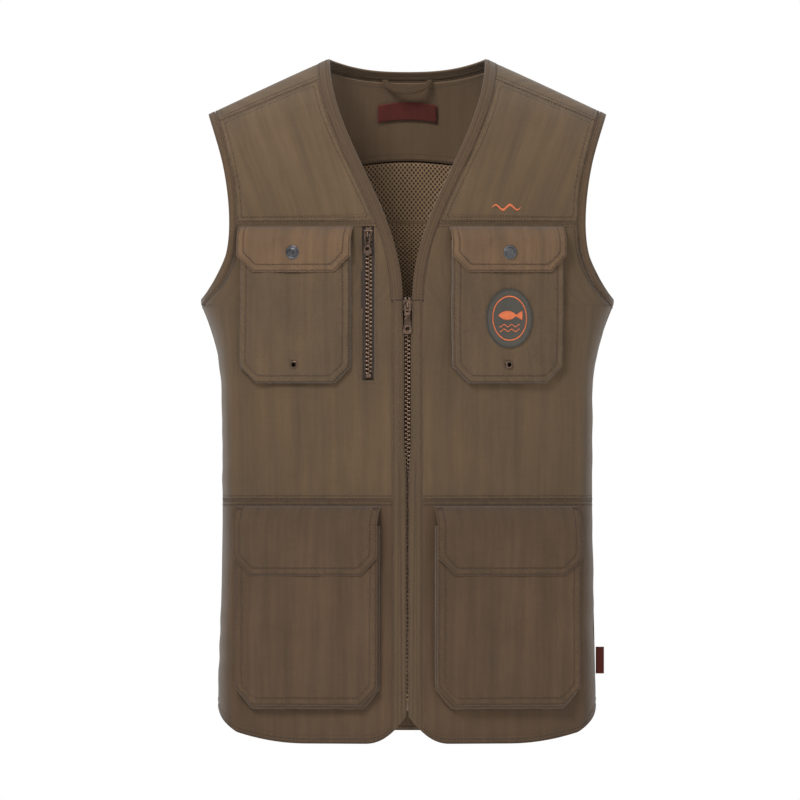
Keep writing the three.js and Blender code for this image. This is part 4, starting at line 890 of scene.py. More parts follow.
# ---------------------------------------------------------------- panels of the torso
def across_places(inner_x, outer_u, cuts=()):
    """Positions u across one front row. Every row has the same number in each stretch."""
    marks = [inner_x, *cuts, FLAT_END]
    widths = [16.4, *cuts, FLAT_END]
    out = []
    for low, high, wide_low, wide_high in zip(marks[:-1], marks[1:], widths[:-1], widths[1:]):
        count = steps(wide_high - wide_low)
        out.append(np.linspace(low, high, count + 1)[:-1] / FLAT_END)
    count = steps(70)
    out.append(np.linspace(1, outer_u, count + 1))
    return np.concatenate(out)


SIDE_SEAM_U = 1.995
SEAM_CRACK = 0.03


def front_panel(name, u, z, side, material, keep=None, node=None, margins=(1, 1, 0, 1)):
    points = front_wrap(u, z)
    normals = normals_of("front", u, z)
    points = points + normals * (drape(side, points[..., 0], points[..., 2]) * sizes().fold)[..., None]
    normals = grid_normals(points, normals)
    return cloth_piece(name, mirrored(points, side), mirrored(normals, side), SHELL, MATERIALS[material],
                       keep=keep, node=node or name, margins=margins)


def chest_inner(z):
    return PLACKET + 0.05 if z < ZIP_TOP else float(neck_half(z)) + BAND + GAP


def neck_line(angles, band):
    return [(float(neck_half(neck_height_at(a))) + band, a) for a in angles]


def back_neck(turn, band):
    band_angle = math.degrees(band / BACK_DEPTH * 0.62)
    return ((NECK_HALF + band) * math.cos(math.radians(turn)),
            (BACK_NECK_ANGLE + band_angle) * math.sin(math.radians(turn)))


def yoke_places(angles, edge_at):
    """x and angle over a cloth that runs from a lower seam up to the shoulders and the nape."""
    band = BAND + GAP
    bottom, top = angles[0], angles[-1]
    low_turn = math.degrees(math.asin(max(0, top) / BACK_NECK_ANGLE))
    nape = [back_neck(max(t, low_turn), band) for t in np.linspace(90, 0, 44)]
    front = [(x, max(a, top)) for x, a in neck_line(np.linspace(0, FRONT_SEAM_ANGLE, 12)[1:], band)]
    neck = nape + front if top < 0 else nape[:-1] + [back_neck(low_turn, band)]
    shoulder = [(x, top) for x in np.linspace(neck[-1][0], edge_at(top), steps(120))[1:]]
    tops = np.array(neck + shoulder)
    last = len(tops) - 1
    columns = np.arange(-last, last + 1)
    share = np.abs(columns) / last
    top_x, top_angle = tops[np.abs(columns), 0], tops[np.abs(columns), 1]
    xs, turned = [], []
    for v in np.linspace(0, 1, len(angles)):
        angle = lerp(bottom, top_angle, v)
        straight = lerp(share * edge_at(bottom), top_x, v)
        edge_straight = lerp(edge_at(bottom), edge_at(top), v)
        edge = np.array([edge_at(a) for a in np.unique(angle)])
        edge = np.interp(angle, np.unique(angle), edge)
        x = straight + (edge - edge_straight) * share ** 6
        xs.append(np.sign(columns) * x)
        turned.append(angle)
    return np.array(xs), np.array(turned)


def build_body_panels():
    """Front skirts, chests and yokes, the back panel and the back yoke."""
    for side in ("right", "left"):
        # skirt
        u = across_places(PLACKET + 0.05, SIDE_SEAM_U)
        v = np.linspace(0, 1, steps(WAIST_SEAM))[:, None]
        z = lerp(front_hem(u)[None], WAIST_SEAM - SEAM_CRACK, v)
        front_panel(f"front_skirt_{side}_cloth", np.broadcast_to(u, z.shape), z, side, "skirt",
                    node=f"front_skirt_{side}")
        # chest, with the zip's window on the right
        cuts = (WINDOW[0], WINDOW[1])
        marks = [WAIST_SEAM + SEAM_CRACK, WINDOW[2], UNDERARM, ZIP_TOP, WINDOW[3], CHEST_SEAM - SEAM_CRACK]
        heights = np.concatenate([np.linspace(a, b, steps(b - a) + 1)[:-1] for a, b in zip(marks, marks[1:])]
                                 + [[marks[-1]]])
        us = []
        for h in heights:
            outer = SIDE_SEAM_U if h <= UNDERARM else front_u_at(armhole_half(FRONT_ARMHOLE, h), h)
            us.append(across_places(chest_inner(h), outer, cuts))
        us = np.array(us)
        keep = None
        if side == "right":
            middle_x = (us[:-1, :-1] + us[1:, 1:]) / 2 * FLAT_END
            middle_z = (heights[:-1] + heights[1:])[:, None] / 2
            keep = ~((middle_x > WINDOW[0]) & (middle_x < WINDOW[1])
                     & (middle_z > WINDOW[2]) & (middle_z < WINDOW[3]))
        front_panel(f"front_chest_{side}_cloth", us, np.broadcast_to(heights[:, None], us.shape), side,
                    "shell",
                    keep=keep, node=f"front_chest_{side}")
        # yoke
        angles = np.linspace(-89.985, FRONT_SEAM_ANGLE, steps(175))
        x = np.array([np.linspace(float(neck_half(neck_height_at(a))) + BAND + GAP,
                                  armhole_half_at_angle(FRONT_ARMHOLE, a), steps(130)) for a in angles])
        a = np.broadcast_to(angles[:, None], x.shape)
        points, normals = roof(x, a), normals_of("roof", x, a)
        calm = smooth(a, -88, -70) * smooth(-a, 27, 36)
        points = points + normals * (calm * waves(x, points[..., 2], 31, 120, 50, 70)
                                     * 1.2 * sizes().fold)[..., None]
        cloth_piece(f"front_yoke_{side}_cloth", mirrored(points, side), mirrored(normals, side), SHELL,
                    MATERIALS["yoke"], node=f"front_yoke_{side}")
    build_back()


def back_columns(reach, count):
    c = np.linspace(-1, 1, count)
    return reach * np.sign(c) * np.abs(c) ** 0.9


def build_back():
    count = 2 * (steps(560) // 2) + 1
    rows_u, rows_v, kinds = [], [], []
    angle = back_columns(89.7, count)
    for v in np.linspace(0, 1, steps(WAIST_SEAM)):
        rows_u.append(angle)
        rows_v.append(lerp(back_hem(angle), WAIST_SEAM, v))
        kinds.append("back")
    for z in np.linspace(WAIST_SEAM, UNDERARM, steps(UNDERARM - WAIST_SEAM))[1:]:
        rows_u.append(angle)
        rows_v.append(np.full(count, z))
        kinds.append("back")
    for z in np.linspace(UNDERARM, CHEST_SEAM, steps(90))[1:]:
        reach = min(89.7, back_angle_at(armhole_half(BACK_ARMHOLE, z), z))
        rows_u.append(back_columns(reach, count))
        rows_v.append(np.full(count, z))
        kinds.append("back")
    shares = SURFACES["back"][0](rows_u[-1], rows_v[-1])[..., 0]
    shares = shares / np.abs(shares).max()
    for a in np.linspace(90, BACK_SEAM_ANGLE + 0.03, steps(46))[1:]:
        rows_u.append(armhole_half_at_angle(BACK_ARMHOLE, a) * shares)
        rows_v.append(np.full(count, a))
        kinds.append("roof")
    points, normals = [], []
    for kind, u, v in zip(kinds, rows_u, rows_v):
        points.append(SURFACES[kind][0](u, v))
        normals.append(normals_of(kind, u, v))
    points, normals = np.array(points), np.array(normals)
    far = edge_map(points, (1, 1, 1, 1))[..., 0] * 1000
    lift = smooth(far, 3, 50) * (waves(points[..., 0], points[..., 2], 41, 190, 80, 6) * 3.0
                                 + waves(points[..., 0], points[..., 2], 42, 60, 26, 60) * 0.8)
    points = points + normals * (np.maximum(lift, -2.1) * sizes().fold)[..., None]
    cloth_piece("back_panel_cloth", points, grid_normals(points, normals), SHELL, MATERIALS["shell"],
                node="back_panel")
    angles = np.linspace(BACK_SEAM_ANGLE - 0.03, FRONT_SEAM_ANGLE + 0.04, steps(190))
    x, a = yoke_places(angles, shoulder_edge_at)
    points, normals = roof(x, a), normals_of("roof", x, a)
    cloth_piece("back_yoke_cloth", points, normals, SHELL, MATERIALS["yoke"], node="back_yoke")


def build_inside():
    """Facing behind the yoke and the net lining below it."""
    angles = np.linspace(69.7, 8, steps(130))
    x, a = yoke_places(angles, lambda angle: shoulder_edge_at(angle) - 6)
    normals = normals_of("roof", x, a)
    points = roof(x, a) - normals * LINING_DEPTH
    cloth_piece("neck_facing_cloth", points, normals, LINING, MATERIALS["facing"], node="neck_facing")
    count = 2 * (steps(520) // 2) + 1
    c = np.linspace(-1, 1, count)
    rows = []
    for v in np.linspace(0, 1, steps(WAIST_SEAM)):
        rows.append(("back", 84 * c, lerp(back_hem(84 * c) + 24, WAIST_SEAM, v)))
    for z in np.linspace(WAIST_SEAM, UNDERARM, steps(UNDERARM - WAIST_SEAM))[1:]:
        rows.append(("back", 84 * c, np.full(count, z)))
    for z in np.linspace(UNDERARM, CHEST_SEAM, steps(90))[1:]:
        reach = min(84, back_angle_at(armhole_half(BACK_ARMHOLE, z) - 6, z))
        rows.append(("back", reach * c, np.full(count, z)))
    for a in np.linspace(90, 70.3, steps(60))[1:]:
        reach = armhole_half_at_angle(BACK_ARMHOLE, a) - 6
        rows.append(("roof", reach * signed_power(np.sin(np.radians(90 * c))), np.full(count, a)))
    points = np.array([SURFACES[k][0](u, v) for k, u, v in rows])
    normals = np.array([normals_of(k, u, v) for k, u, v in rows])
    points = points - normals * LINING_DEPTH
    far = edge_map(points, (1, 1, 1, 1))[..., 0] * 1000
    sway = waves(points[..., 0], points[..., 2], 51, 120, 60, 5)
    points = points - normals * (smooth(far, 3, 60) * (1 + sway) * 1.5 * sizes().fold)[..., None]
    cloth_piece("mesh_lining_cloth", points, grid_normals(points, normals), LINING, MATERIALS["net"],
                node="mesh_lining")


def front_frame(side, distance, x, out, z):
    """Points in the plane of one front half: x along it, out of it, and height."""
    sign = SIDES[side]
    turn = sign * YAW
    x, out, z = np.broadcast_arrays(*(np.asarray(v, dtype=float) for v in (x, out, z)))
    return np.stack([sign * distance + x * math.cos(turn) + out * math.sin(turn),
                     float(front_depth(distance)) + x * math.sin(turn) - out * math.cos(turn), z], -1)


def frame_normal(side):
    turn = SIDES[side] * YAW
    return np.array([math.sin(turn), -math.cos(turn), 0.0])


def plane_lift(side, distance, x, z):
    """Drape of the panel behind a place in a front frame, in millimetres."""
    world = np.abs(SIDES[side] * distance + np.asarray(x) * math.cos(YAW))
    return drape(side, world, z) * sizes().fold


# ---------------------------------------------------------------- bindings and plackets
def build_bindings():
    """Neck binding, armhole bindings and the plackets over the zip tapes."""
    section = np.linspace(0, BAND, 7)
    puff = np.sin(np.pi * section / BAND) * 0.5
    points, normals = [], []

    def row(surface, u, v):
        n = normals_of(surface, u, v)
        points.append(SURFACES[surface][0](u, v) + n * puff[:, None])
        normals.append(n)

    for z in np.linspace(ZIP_TOP + GAP, CHEST_SEAM - GAP / 2, steps(95)):
        row("front", (float(neck_half(z)) + section) / FLAT_END, np.full(7, z))
    for a in np.linspace(-89.8, 0, steps(260)):
        row("roof", float(neck_half(neck_height_at(a))) + section, np.full(7, a))
    for t in np.linspace(0, 90, steps(130))[1:]:
        places = [back_neck(t, w) for w in section]
        row("roof", np.array([p[0] for p in places]), np.array([p[1] for p in places]))
    points, normals = np.array(points), np.array(normals)
    flip = np.array([-1, 1, 1])
    points = np.concatenate([points, (points * flip)[:-1][::-1]])
    normals = np.concatenate([normals, (normals * flip)[:-1][::-1]])
    cloth_piece("neck_binding_cloth", points, normals, SHELL, MATERIALS["band"], node="neck_binding",
                margins=(0, 0, 1, 1))
    stitches("neck_binding_stitches", [(points[:, 1] * 0.35 + points[:, 2] * 0.65, normals[:, 1]),
                                       (points[:, 5] * 0.7 + points[:, 6] * 0.3, normals[:, 5])])
    for side in ("right", "left"):
        armhole_binding(side)
        placket(side)


def armhole_ring():
    """Points and normals round the cloth's armhole edge, and the direction out of the cloth."""
    spots = []
    for z in np.linspace(UNDERARM, CHEST_SEAM - GAP / 2, steps(95)):
        u = SIDE_SEAM_U if z <= UNDERARM else front_u_at(armhole_half(FRONT_ARMHOLE, z), z)
        spots.append(("front", u, z))
    for a in np.linspace(-89.8, FRONT_SEAM_ANGLE, steps(130))[1:]:
        spots.append(("roof", armhole_half_at_angle(FRONT_ARMHOLE, a), a))
    for a in np.linspace(FRONT_SEAM_ANGLE, 90, steps(200))[1:]:
        spots.append(("roof", shoulder_edge_at(a), a))
    for z in np.linspace(CHEST_SEAM, UNDERARM, steps(95))[1:-1]:
        spots.append(("back", min(89.7, back_angle_at(armhole_half(BACK_ARMHOLE, z), z)), z))
    points = np.array([SURFACES[k][0](u, v) for k, u, v in spots])
    normals = np.array([normals_of(k, np.array(u), np.array(v)) for k, u, v in spots])
    tangent = np.roll(points, -2, axis=0) - np.roll(points, 2, axis=0)
    tangent /= np.linalg.norm(tangent, axis=-1, keepdims=True)
    outward = np.cross(normals, tangent)
    outward /= np.linalg.norm(outward, axis=-1, keepdims=True)
    middle = np.array([UNDERARM_HALF, SIDE_DEPTH, (UNDERARM + TIP_HEIGHT) / 2])
    turn = np.where(np.sum(outward * (middle - points), -1) < 0, -1.0, 1.0)
    outward *= turn[:, None]
    for _ in range(3):
        outward = (np.roll(outward, 1, axis=0) + outward * 2 + np.roll(outward, -1, axis=0)) / 4
    return points, normals, outward


def armhole_binding(side):
    points, normals, outward = armhole_ring()
    section = np.linspace(GAP, ARM_BAND, 6)
    puff = np.sin(np.pi * np.linspace(0, 1, 6)) * 0.45
    ring = (points[:, None] + outward[:, None] * section[None, :, None]
            + normals[:, None] * puff[None, :, None])
    up = np.broadcast_to(normals[:, None], ring.shape)
    ring, up = np.concatenate([ring, ring[:1]]), np.concatenate([up, up[:1]])
    length = side_lengths(ring)[1]
    folded = ARM_BAND + SHELL
    cloth_piece(f"armhole_binding_{side}_cloth", mirrored(ring, side), mirrored(up, side), SHELL,
                MATERIALS["band"], node=f"armhole_binding_{side}", margins=(0, 0, 1, 1), wrap=True,
                flat=(folded, length, folded * length))
    inner = ring[:, 0] + (ring[:, 1] - ring[:, 0]) * 0.9
    far = points - outward * 1.8
    runs = [(mirrored(inner, side), mirrored(up[:, 1], side)),
            (mirrored(np.concatenate([far, far[:1]]), side), mirrored(up[:, 0], side))]
    stitches(f"armhole_stitches_{side}", runs)


def placket(side):
    columns = np.linspace(0, 1, 7)
    heights = np.linspace(31, ZIP_TOP, steps(ZIP_TOP - 31))
    share = (heights - 31) / (ZIP_TOP - 31)
    x = lerp(placket_edge(heights)[:, None], PLACKET, columns[None])
    z = lerp(front_hem(x / FLAT_END), ZIP_TOP, share[:, None])
    points, normals = front_wrap(x / FLAT_END, z), normals_of("front", x / FLAT_END, z)
    roll = np.sin(np.pi * columns) * 0.35 + 0.25 * waves(x, z, 61 if side == "left" else 67, 90, 30, 80)
    points = points + normals * (roll * smooth(x, 0, 6))[..., None]
    cloth_piece(f"placket_{side}_cloth", mirrored(points, side), mirrored(normals, side), PLACKET_THICK,
                MATERIALS["placket"], node=f"placket_{side}", margins=(0, 0, 1, 1))
    where = [0.8] if side == "left" else [0.36, 0.9]
    runs = []
    for w in where:
        at = w * 6
        low, part = int(at), at - int(at)
        runs.append((mirrored(points[:, low] * (1 - part) + points[:, low + 1] * part, side),
                     mirrored(normals[:, low], side)))
    stitches(f"placket_stitches_{side}", runs)


def build_seams():
    """Rows of stitches beside the panel seams and round the hem and the zip's window."""
    for side in ("right", "left"):
        runs = []
        for z, inner in ((WAIST_SEAM - 5.2, PLACKET + 1), (WAIST_SEAM + 1.3, PLACKET + 1)):
            u = np.linspace(inner / FLAT_END, 1.99, 260)
            runs.append(surface_run("front", u, z, side))
        top = front_u_at(armhole_half(FRONT_ARMHOLE, CHEST_SEAM), CHEST_SEAM)
        u = np.linspace((float(neck_half(CHEST_SEAM)) + BAND + 1) / FLAT_END, top, 200)
        runs.append(surface_run("front", u, CHEST_SEAM - 1.4, side))
        u = np.linspace((PLACKET + 1) / FLAT_END, 1.99, 300)
        runs.append(surface_run("front", u, front_hem(u) + 9, side))
        runs.append(surface_run("front", u, front_hem(u) + 1.6, side))
        for angle in (-89.1, -87.4):
            x = np.linspace(float(neck_half(neck_height_at(angle))) + BAND + 1,
                            armhole_half_at_angle(FRONT_ARMHOLE, angle) - 0.5, 160)
            runs.append(surface_run("roof", x, angle, side))
        for angle in (FRONT_SEAM_ANGLE - 0.6, FRONT_SEAM_ANGLE + 1.1, FRONT_SEAM_ANGLE + 4.4):
            x = np.linspace(float(neck_half(neck_height_at(angle))) + BAND + 1,
                            shoulder_edge_at(angle) - 0.5, 140)
            runs.append(surface_run("roof", x, angle, side))
        for angle in (BACK_SEAM_ANGLE - 1, BACK_SEAM_ANGLE - 4, BACK_SEAM_ANGLE + 1):
            x = np.linspace(0, shoulder_edge_at(angle) - 0.6, 200)
            runs.append(surface_run("roof", x, angle, side))
        angles = np.linspace(0, 89.6, 300)
        for lift in (1.6, 12):
            runs.append(surface_run("back", angles, back_hem(angles) + lift, side))
        if side == "right":
            low_x, high_x = WINDOW[0] - 2.6, WINDOW[1] + 2.6
            low_z, high_z = WINDOW[2] - 3, WINDOW[3]
            x = np.concatenate([np.full(80, low_x), np.linspace(low_x, high_x, 12), np.full(80, high_x)])
            z = np.concatenate([np.linspace(high_z, low_z, 80), np.full(12, low_z),
                                np.linspace(low_z, high_z, 80)])
            runs.append(surface_run("front", x / FLAT_END, z, side))
        stitches(f"seam_stitches_{side}", runs)


# ---------------------------------------------------------------- pockets
RIM = np.array([0.0, 0.2, 0.7, 1.5, 2.6, 4.2])


def outline_half(z, width, bottom, chamfer):
    return width / 2 - np.maximum(0, chamfer - (z - bottom))


def outline_distance(x, z, width, bottom, chamfer):
    """Distance in from the sewn edge of a pocket or flap outline."""
    side = width / 2 - np.abs(x)
    low = z - bottom
    corner = (side + low - chamfer) / math.sqrt(2)
    return np.maximum(0, np.minimum(np.minimum(side, low), corner))


def outline_grid(width, top, bottom, chamfer, hole=None):
    """Grid over an outline that is chamfered at the bottom, close-set along its edge."""
    rim_end = RIM[-1]
    marks = [bottom + rim_end, top] if hole is None else [bottom + rim_end, hole - 2.6, hole + 2.6, top]
    rows = [bottom + RIM[:-1]]
    for a, b in zip(marks[:-1], marks[1:]):
        count = 1 if hole is not None and abs(b - a - 5.2) < 0.01 else steps(b - a)
        rows.append(np.linspace(a, b, count + 1)[:-1])
    rows = np.concatenate(rows + [[top]])
    half = outline_half(rows, width, bottom, chamfer)[:, None]
    middle = steps((width - 2 * rim_end) / 2 - 2.6)
    share = np.linspace(0, 1, middle + 1)[None]
    left = lerp(-(half - rim_end), -2.6, share)
    x = np.concatenate([-(half - RIM[None, :-1]), left, -left[:, ::-1], (half - RIM[None, :-1])[:, ::-1]],
                       axis=1)
    z = np.broadcast_to(rows[:, None], x.shape)
    return x, z


def rim_height(distance, radius):
    t = np.clip(distance / radius, 0, 1)
    return np.sqrt(1 - (1 - t) ** 2)


def seam_of(distance, x, z):
    return np.stack([distance, x + z], -1) / 1000


def pocket_front(name, side, distance, width, top, bottom, chamfer, depth, base, puff, seed, material, node,
                 thick, hole=None):
    """The front cloth of a pocket; gives the function that its trimmings sit on."""
    covered = 60 if width > 150 else 39

    def height(x, z):
        d = outline_distance(x, z, width, bottom, chamfer)
        swell = puff * np.maximum(0, 1 - (2 * np.abs(x) / width) ** 2) * smooth(z, bottom, bottom + 50) \
            * (1 - 0.75 * smooth(z, top - 60, top - 25))
        crease = smooth(d, 7, 20) * (1 - 0.9 * smooth(z, top - covered - 4, top - covered + 8)) * (
            waves(x, z, seed, 90, 34, 42) * 0.9 + waves(x, z, seed + 1, 40, 16, -35) * 0.5)
        valley = -0.35 * smooth(d, 6.5, 8) * (1 - smooth(d, 8, 11))
        return (base + (depth - base) * rim_height(d, 2.6) + swell
                + np.clip(crease * sizes().fold, -0.9, 1.4) + valley + plane_lift(side, distance, x, z))

    def surface(x, z, lift=0.0):
        x, z = np.asarray(x, dtype=float), np.asarray(z, dtype=float)
        return front_frame(side, distance, x, height(x, z) + lift, z)

    x, z = outline_grid(width, top, bottom, chamfer, hole)
    points = surface(x, z)
    keep = None
    if hole is not None:
        mid_x, mid_z = (x[:-1, :-1] + x[1:, 1:]) / 2, (z[:-1, :-1] + z[1:, 1:]) / 2
        keep = ~((np.abs(mid_x) < 1) & (np.abs(mid_z - hole) < 1))
    towards = frame_normal(side)
    normals = grid_normals(points, np.broadcast_to(towards, points.shape))
    away = outline_distance(x, z, width, bottom, chamfer)
    weave = np.stack([x + (rim_height(away, 2.6) - 1) * depth, z], -1) / 1000
    cloth_piece(name, points, normals, thick, MATERIALS[material], node=node, keep=keep, weave=weave,
                seam=seam_of(away, x, z))
    return surface


def outline_corners(half, top, low, cut):
    """Corners of a chamfered outline, from the top of one side round to the top of the other."""
    return [(-half, top), (-half, low + cut), (-half + cut, low),
            (half - cut, low), (half, low + cut), (half, top)]


def u_run(surface, side, width, top, bottom, chamfer, inset):
    """A run round an outline at a distance in from its edge."""
    half = width / 2 - inset
    low = bottom + inset
    cut = chamfer - inset * (2 - math.sqrt(2))
    corners = outline_corners(half, top, low, cut)
    path = []
    for (x0, z0), (x1, z1) in zip(corners[:-1], corners[1:]):
        count = max(2, int(math.hypot(x1 - x0, z1 - z0) / 2))
        path.append(np.stack([np.linspace(x0, x1, count), np.linspace(z0, z1, count)], -1)[:-1])
    path = np.concatenate(path + [np.array([corners[-1]])])
    points = surface(path[:, 0], path[:, 1])
    return points, np.broadcast_to(frame_normal(side), points.shape)


def flap_cloth(name, side, distance, width, top, height, chamfer, depth, room, seed, body, node, material):
    """A flap that rises from its seam over the pocket and hangs; gives its surface function."""
    reach = depth + room
    bottom = top - height

    def out(x, z):
        drop = top - z
        rise = np.sin(np.clip(drop / (1.5 * reach), 0, 1) * math.pi / 2)
        tuck = np.maximum(2.3 * smooth(drop, height - 24, height) * (0.35 + 0.65 * smooth(np.abs(x), 6, 30)),
                          2.3 * smooth(np.abs(x), width / 2 - 14, width / 2))
        sway = 0.6 * waves(x, z, seed, 80, 30, 50) * smooth(drop, 14, 30) * sizes().fold
        d = outline_distance(x, z, width, bottom, chamfer)
        edge = 0.7 * (1 - rim_height(d, 1.2)) + 0.3 * smooth(d, 6, 7) * (1 - smooth(d, 7, 9.5))
        return GAP + (reach + 1.6 - GAP) * rise - tuck * rise + np.minimum(sway, 0.6) - edge * rise \
            + plane_lift(side, distance, x, z) * rise

    def surface(x, z):
        x, z = np.asarray(x, dtype=float), np.asarray(z, dtype=float)
        return front_frame(side, distance, x, out(x, z), z)

    x, z = outline_grid(width, top, bottom, chamfer)
    points = surface(x, z)
    normals = grid_normals(points, np.broadcast_to(frame_normal(side), points.shape))
    away = outline_distance(x, z, width, bottom, chamfer)
    cloth_piece(name, points, normals, 1.5, MATERIALS[material], body=body, node=node,
                weave=np.stack([x, z], -1) / 1000, seam=seam_of(away, x, z))
    return surface


def bar_tacks(name, side, surface, places, body, length=6.0):
    """Close zigzag stitching at the ends of a seam."""
    runs = []
    for x, z, level in places:
        for k in np.linspace(-1.1, 1.1, 5):
            if level:
                path = np.stack([np.linspace(x - length / 2, x + length / 2, 8), np.full(8, z + k)], -1)
            else:
                path = np.stack([np.full(8, x + k), np.linspace(z - length / 2, z + length / 2, 8)], -1)
            points = surface(path[:, 0], path[:, 1])
            runs.append((points, np.broadcast_to(frame_normal(side), points.shape)))
    stitches(name, runs, body=body, pitch=1.5, length=1.6)


def build_chest_pockets():
    """The two chest pockets with their flaps."""
    for side in ("right", "left"):
        distance = CHEST_CENTRES[side]
        seed = 71 if side == "right" else 83
        front = pocket_front(f"chest_pocket_{side}_cloth", side, distance, CHEST_WIDTH, CHEST_TOP,
                             CHEST_BOTTOM, CHEST_CHAMFER, CHEST_DEPTH, GAP, 1.6, seed, "pocket",
                             f"chest_pocket_{side}", 1.5,
                             hole=CHEST_BOTTOM + 20)
        runs = [u_run(front, side, CHEST_WIDTH, CHEST_TOP, CHEST_BOTTOM, CHEST_CHAMFER, inset)
                for inset in (1.6, 8.0)]
        stitches(f"chest_pocket_{side}_stitches", runs)
        body = f"chest_flap_body_{side}"
        flap = flap_cloth(f"chest_flap_{side}_cloth", side, distance, 129, CHEST_FLAP_TOP, 49, CHEST_CHAMFER,
                          CHEST_DEPTH, CHEST_ROOM, seed + 5, body, f"chest_flap_{side}", "flap")
        runs = [u_run(flap, side, 129, CHEST_FLAP_TOP - 1, CHEST_FLAP_TOP - 49, CHEST_CHAMFER, inset)
                for inset in (1.6, 8.0)]
        stitches(f"chest_flap_{side}_stitches", runs, body=body)
        if side == "left":
            build_badge(side, front)


def lower_gusset(side):
    """Folded gusset between the panel and the pocket's front: it tucks in at the sides and its
    fold hangs below the front at the bottom."""
    half, low, cut, top = LOWER_WIDTH / 2, LOWER_BOTTOM + 4, LOWER_CHAMFER, LOWER_TOP
    corners = outline_corners(half, top, low, cut)
    path = []
    for (x0, z0), (x1, z1) in zip(corners[:-1], corners[1:]):
        count = steps(math.hypot(x1 - x0, z1 - z0))
        path.append(np.stack([np.linspace(x0, x1, count + 1), np.linspace(z0, z1, count + 1)], -1)[:-1])
    path = np.concatenate(path + [np.array([corners[-1]])])
    tangent = np.gradient(path, axis=0)
    tangent /= np.linalg.norm(tangent, axis=-1, keepdims=True)
    inward = np.stack([-tangent[:, 1], tangent[:, 0]], -1)
    inward *= np.where(inward[:, :1] * -path[:, :1] + inward[:, 1:] * 40 > 0, 1, -1)
    lowness = 1 - smooth(path[:, 1], low + 4, low + cut + 14)
    side_fold = np.array([(0, 0.4), (0.5, 2.6), (1.9, 4.2), (2.6, 5.4), (2.2, 6.8), (1.0, 8.6), (0.3, 10.2),
                          (0.2, 11)])
    low_fold = np.array([(0, 0.4), (-2.6, 1.6), (-3.8, 3.4), (-3.4, 5.2), (-1.2, 6.4), (1.0, 7.2), (1.2, 9),
                         (0.2, 11)])
    profile = lerp(side_fold[None], low_fold[None], lowness[:, None, None])
    where = path[:, None] + inward[:, None] * profile[..., :1]
    wobble = waves(path[:, :1] + profile[..., 1] * 3, path[:, 1:] + 0 * profile[..., 1], 97, 50, 22, 10) * 0.3
    out = profile[..., 1] + plane_lift(side, LOWER_CENTRE, where[..., 0], where[..., 1])
    points = front_frame(side, LOWER_CENTRE, where[..., 0], out, where[..., 1] + wobble * lowness[:, None])
    outward = front_frame(side, 0, -inward[:, 0], 0, -inward[:, 1]) - front_frame(side, 0, 0, 0, 0)
    normals = grid_normals(points, np.broadcast_to(outward[:, None], points.shape))
    cloth_piece(f"lower_gusset_{side}_cloth", points, normals, 0.9, MATERIALS["lower_pocket"],
                node=f"lower_pocket_{side}", margins=(0, 0, 0, 0))


def build_lower_pockets():
    """The two large lower pockets with folded gussets and flaps, and their hook and loop tapes."""
    for side in ("right", "left"):
        seed = 101 if side == "right" else 113
        front = pocket_front(f"lower_pocket_{side}_cloth", side, LOWER_CENTRE, LOWER_WIDTH, LOWER_TOP,
                             LOWER_BOTTOM + 4, LOWER_CHAMFER, LOWER_DEPTH, LOWER_DEPTH - 2.2, 2.2, seed,
                             "lower_pocket", f"lower_pocket_{side}", 1.3)
        lower_gusset(side)
        runs = [u_run(front, side, LOWER_WIDTH, LOWER_TOP, LOWER_BOTTOM + 4, LOWER_CHAMFER, inset)
                for inset in (1.6, 8.0)]
        stitches(f"lower_pocket_{side}_stitches", runs)
        body = f"lower_flap_body_{side}"
        flap = flap_cloth(f"lower_flap_{side}_cloth", side, LOWER_CENTRE, LOWER_WIDTH + 2, LOWER_FLAP_TOP,
                          LOWER_FLAP_HEIGHT, LOWER_CHAMFER, LOWER_DEPTH, 3.4, seed + 5, body,
                          f"lower_flap_{side}", "lower_pocket")
        runs = [u_run(flap, side, LOWER_WIDTH + 2, LOWER_FLAP_TOP - 1,
                      LOWER_FLAP_TOP - LOWER_FLAP_HEIGHT, LOWER_CHAMFER, inset)
                for inset in (1.6, 8.0)]
        stitches(f"lower_flap_{side}_stitches", runs, body=body)
        half = LOWER_WIDTH / 2 + 1
        bar_tacks(f"lower_flap_{side}_tacks", side, flap,
                  [(-half + 5, LOWER_FLAP_TOP - 3, True), (half - 5, LOWER_FLAP_TOP - 3, True)], body)
        tape_pair(side)


def tape_pair(side):
    """Hook tape inside the flap and loop tape on the pocket: a pile of short bristles."""
    for kind, body in (("loop_tape", "vest_body"), ("hook_tape", f"lower_flap_body_{side}")):
        node = f"{kind}_{side}"
        low = LOWER_FLAP_TOP - LOWER_FLAP_HEIGHT + 33 - 20
        x = np.linspace(-52.5, 52.5, steps(105))
        z = np.linspace(low, low + 20, 9)
        x, z = np.meshgrid(x, z)
        lift = plane_lift(side, LOWER_CENTRE, x, z)
        edge = np.minimum(52.5 - np.abs(x), np.minimum(z - low, low + 20 - z))
        pile = 0.25 * rim_height(edge, 2) * (1 + waves(x, z, 131, 9, 5, 30))
        above, nap = (1.25, pile) if kind == "loop_tape" else (3.0, 0)
        out = LOWER_DEPTH + lift + above + nap
        points = front_frame(side, LOWER_CENTRE, x, np.minimum(out, LOWER_DEPTH + lift + 3.0), z)
        normals = np.broadcast_to(frame_normal(side), points.shape)
        cloth_piece(f"{node}_cloth", points, normals, 1.0, MATERIALS["tape_cloth"], body=body, node=node)


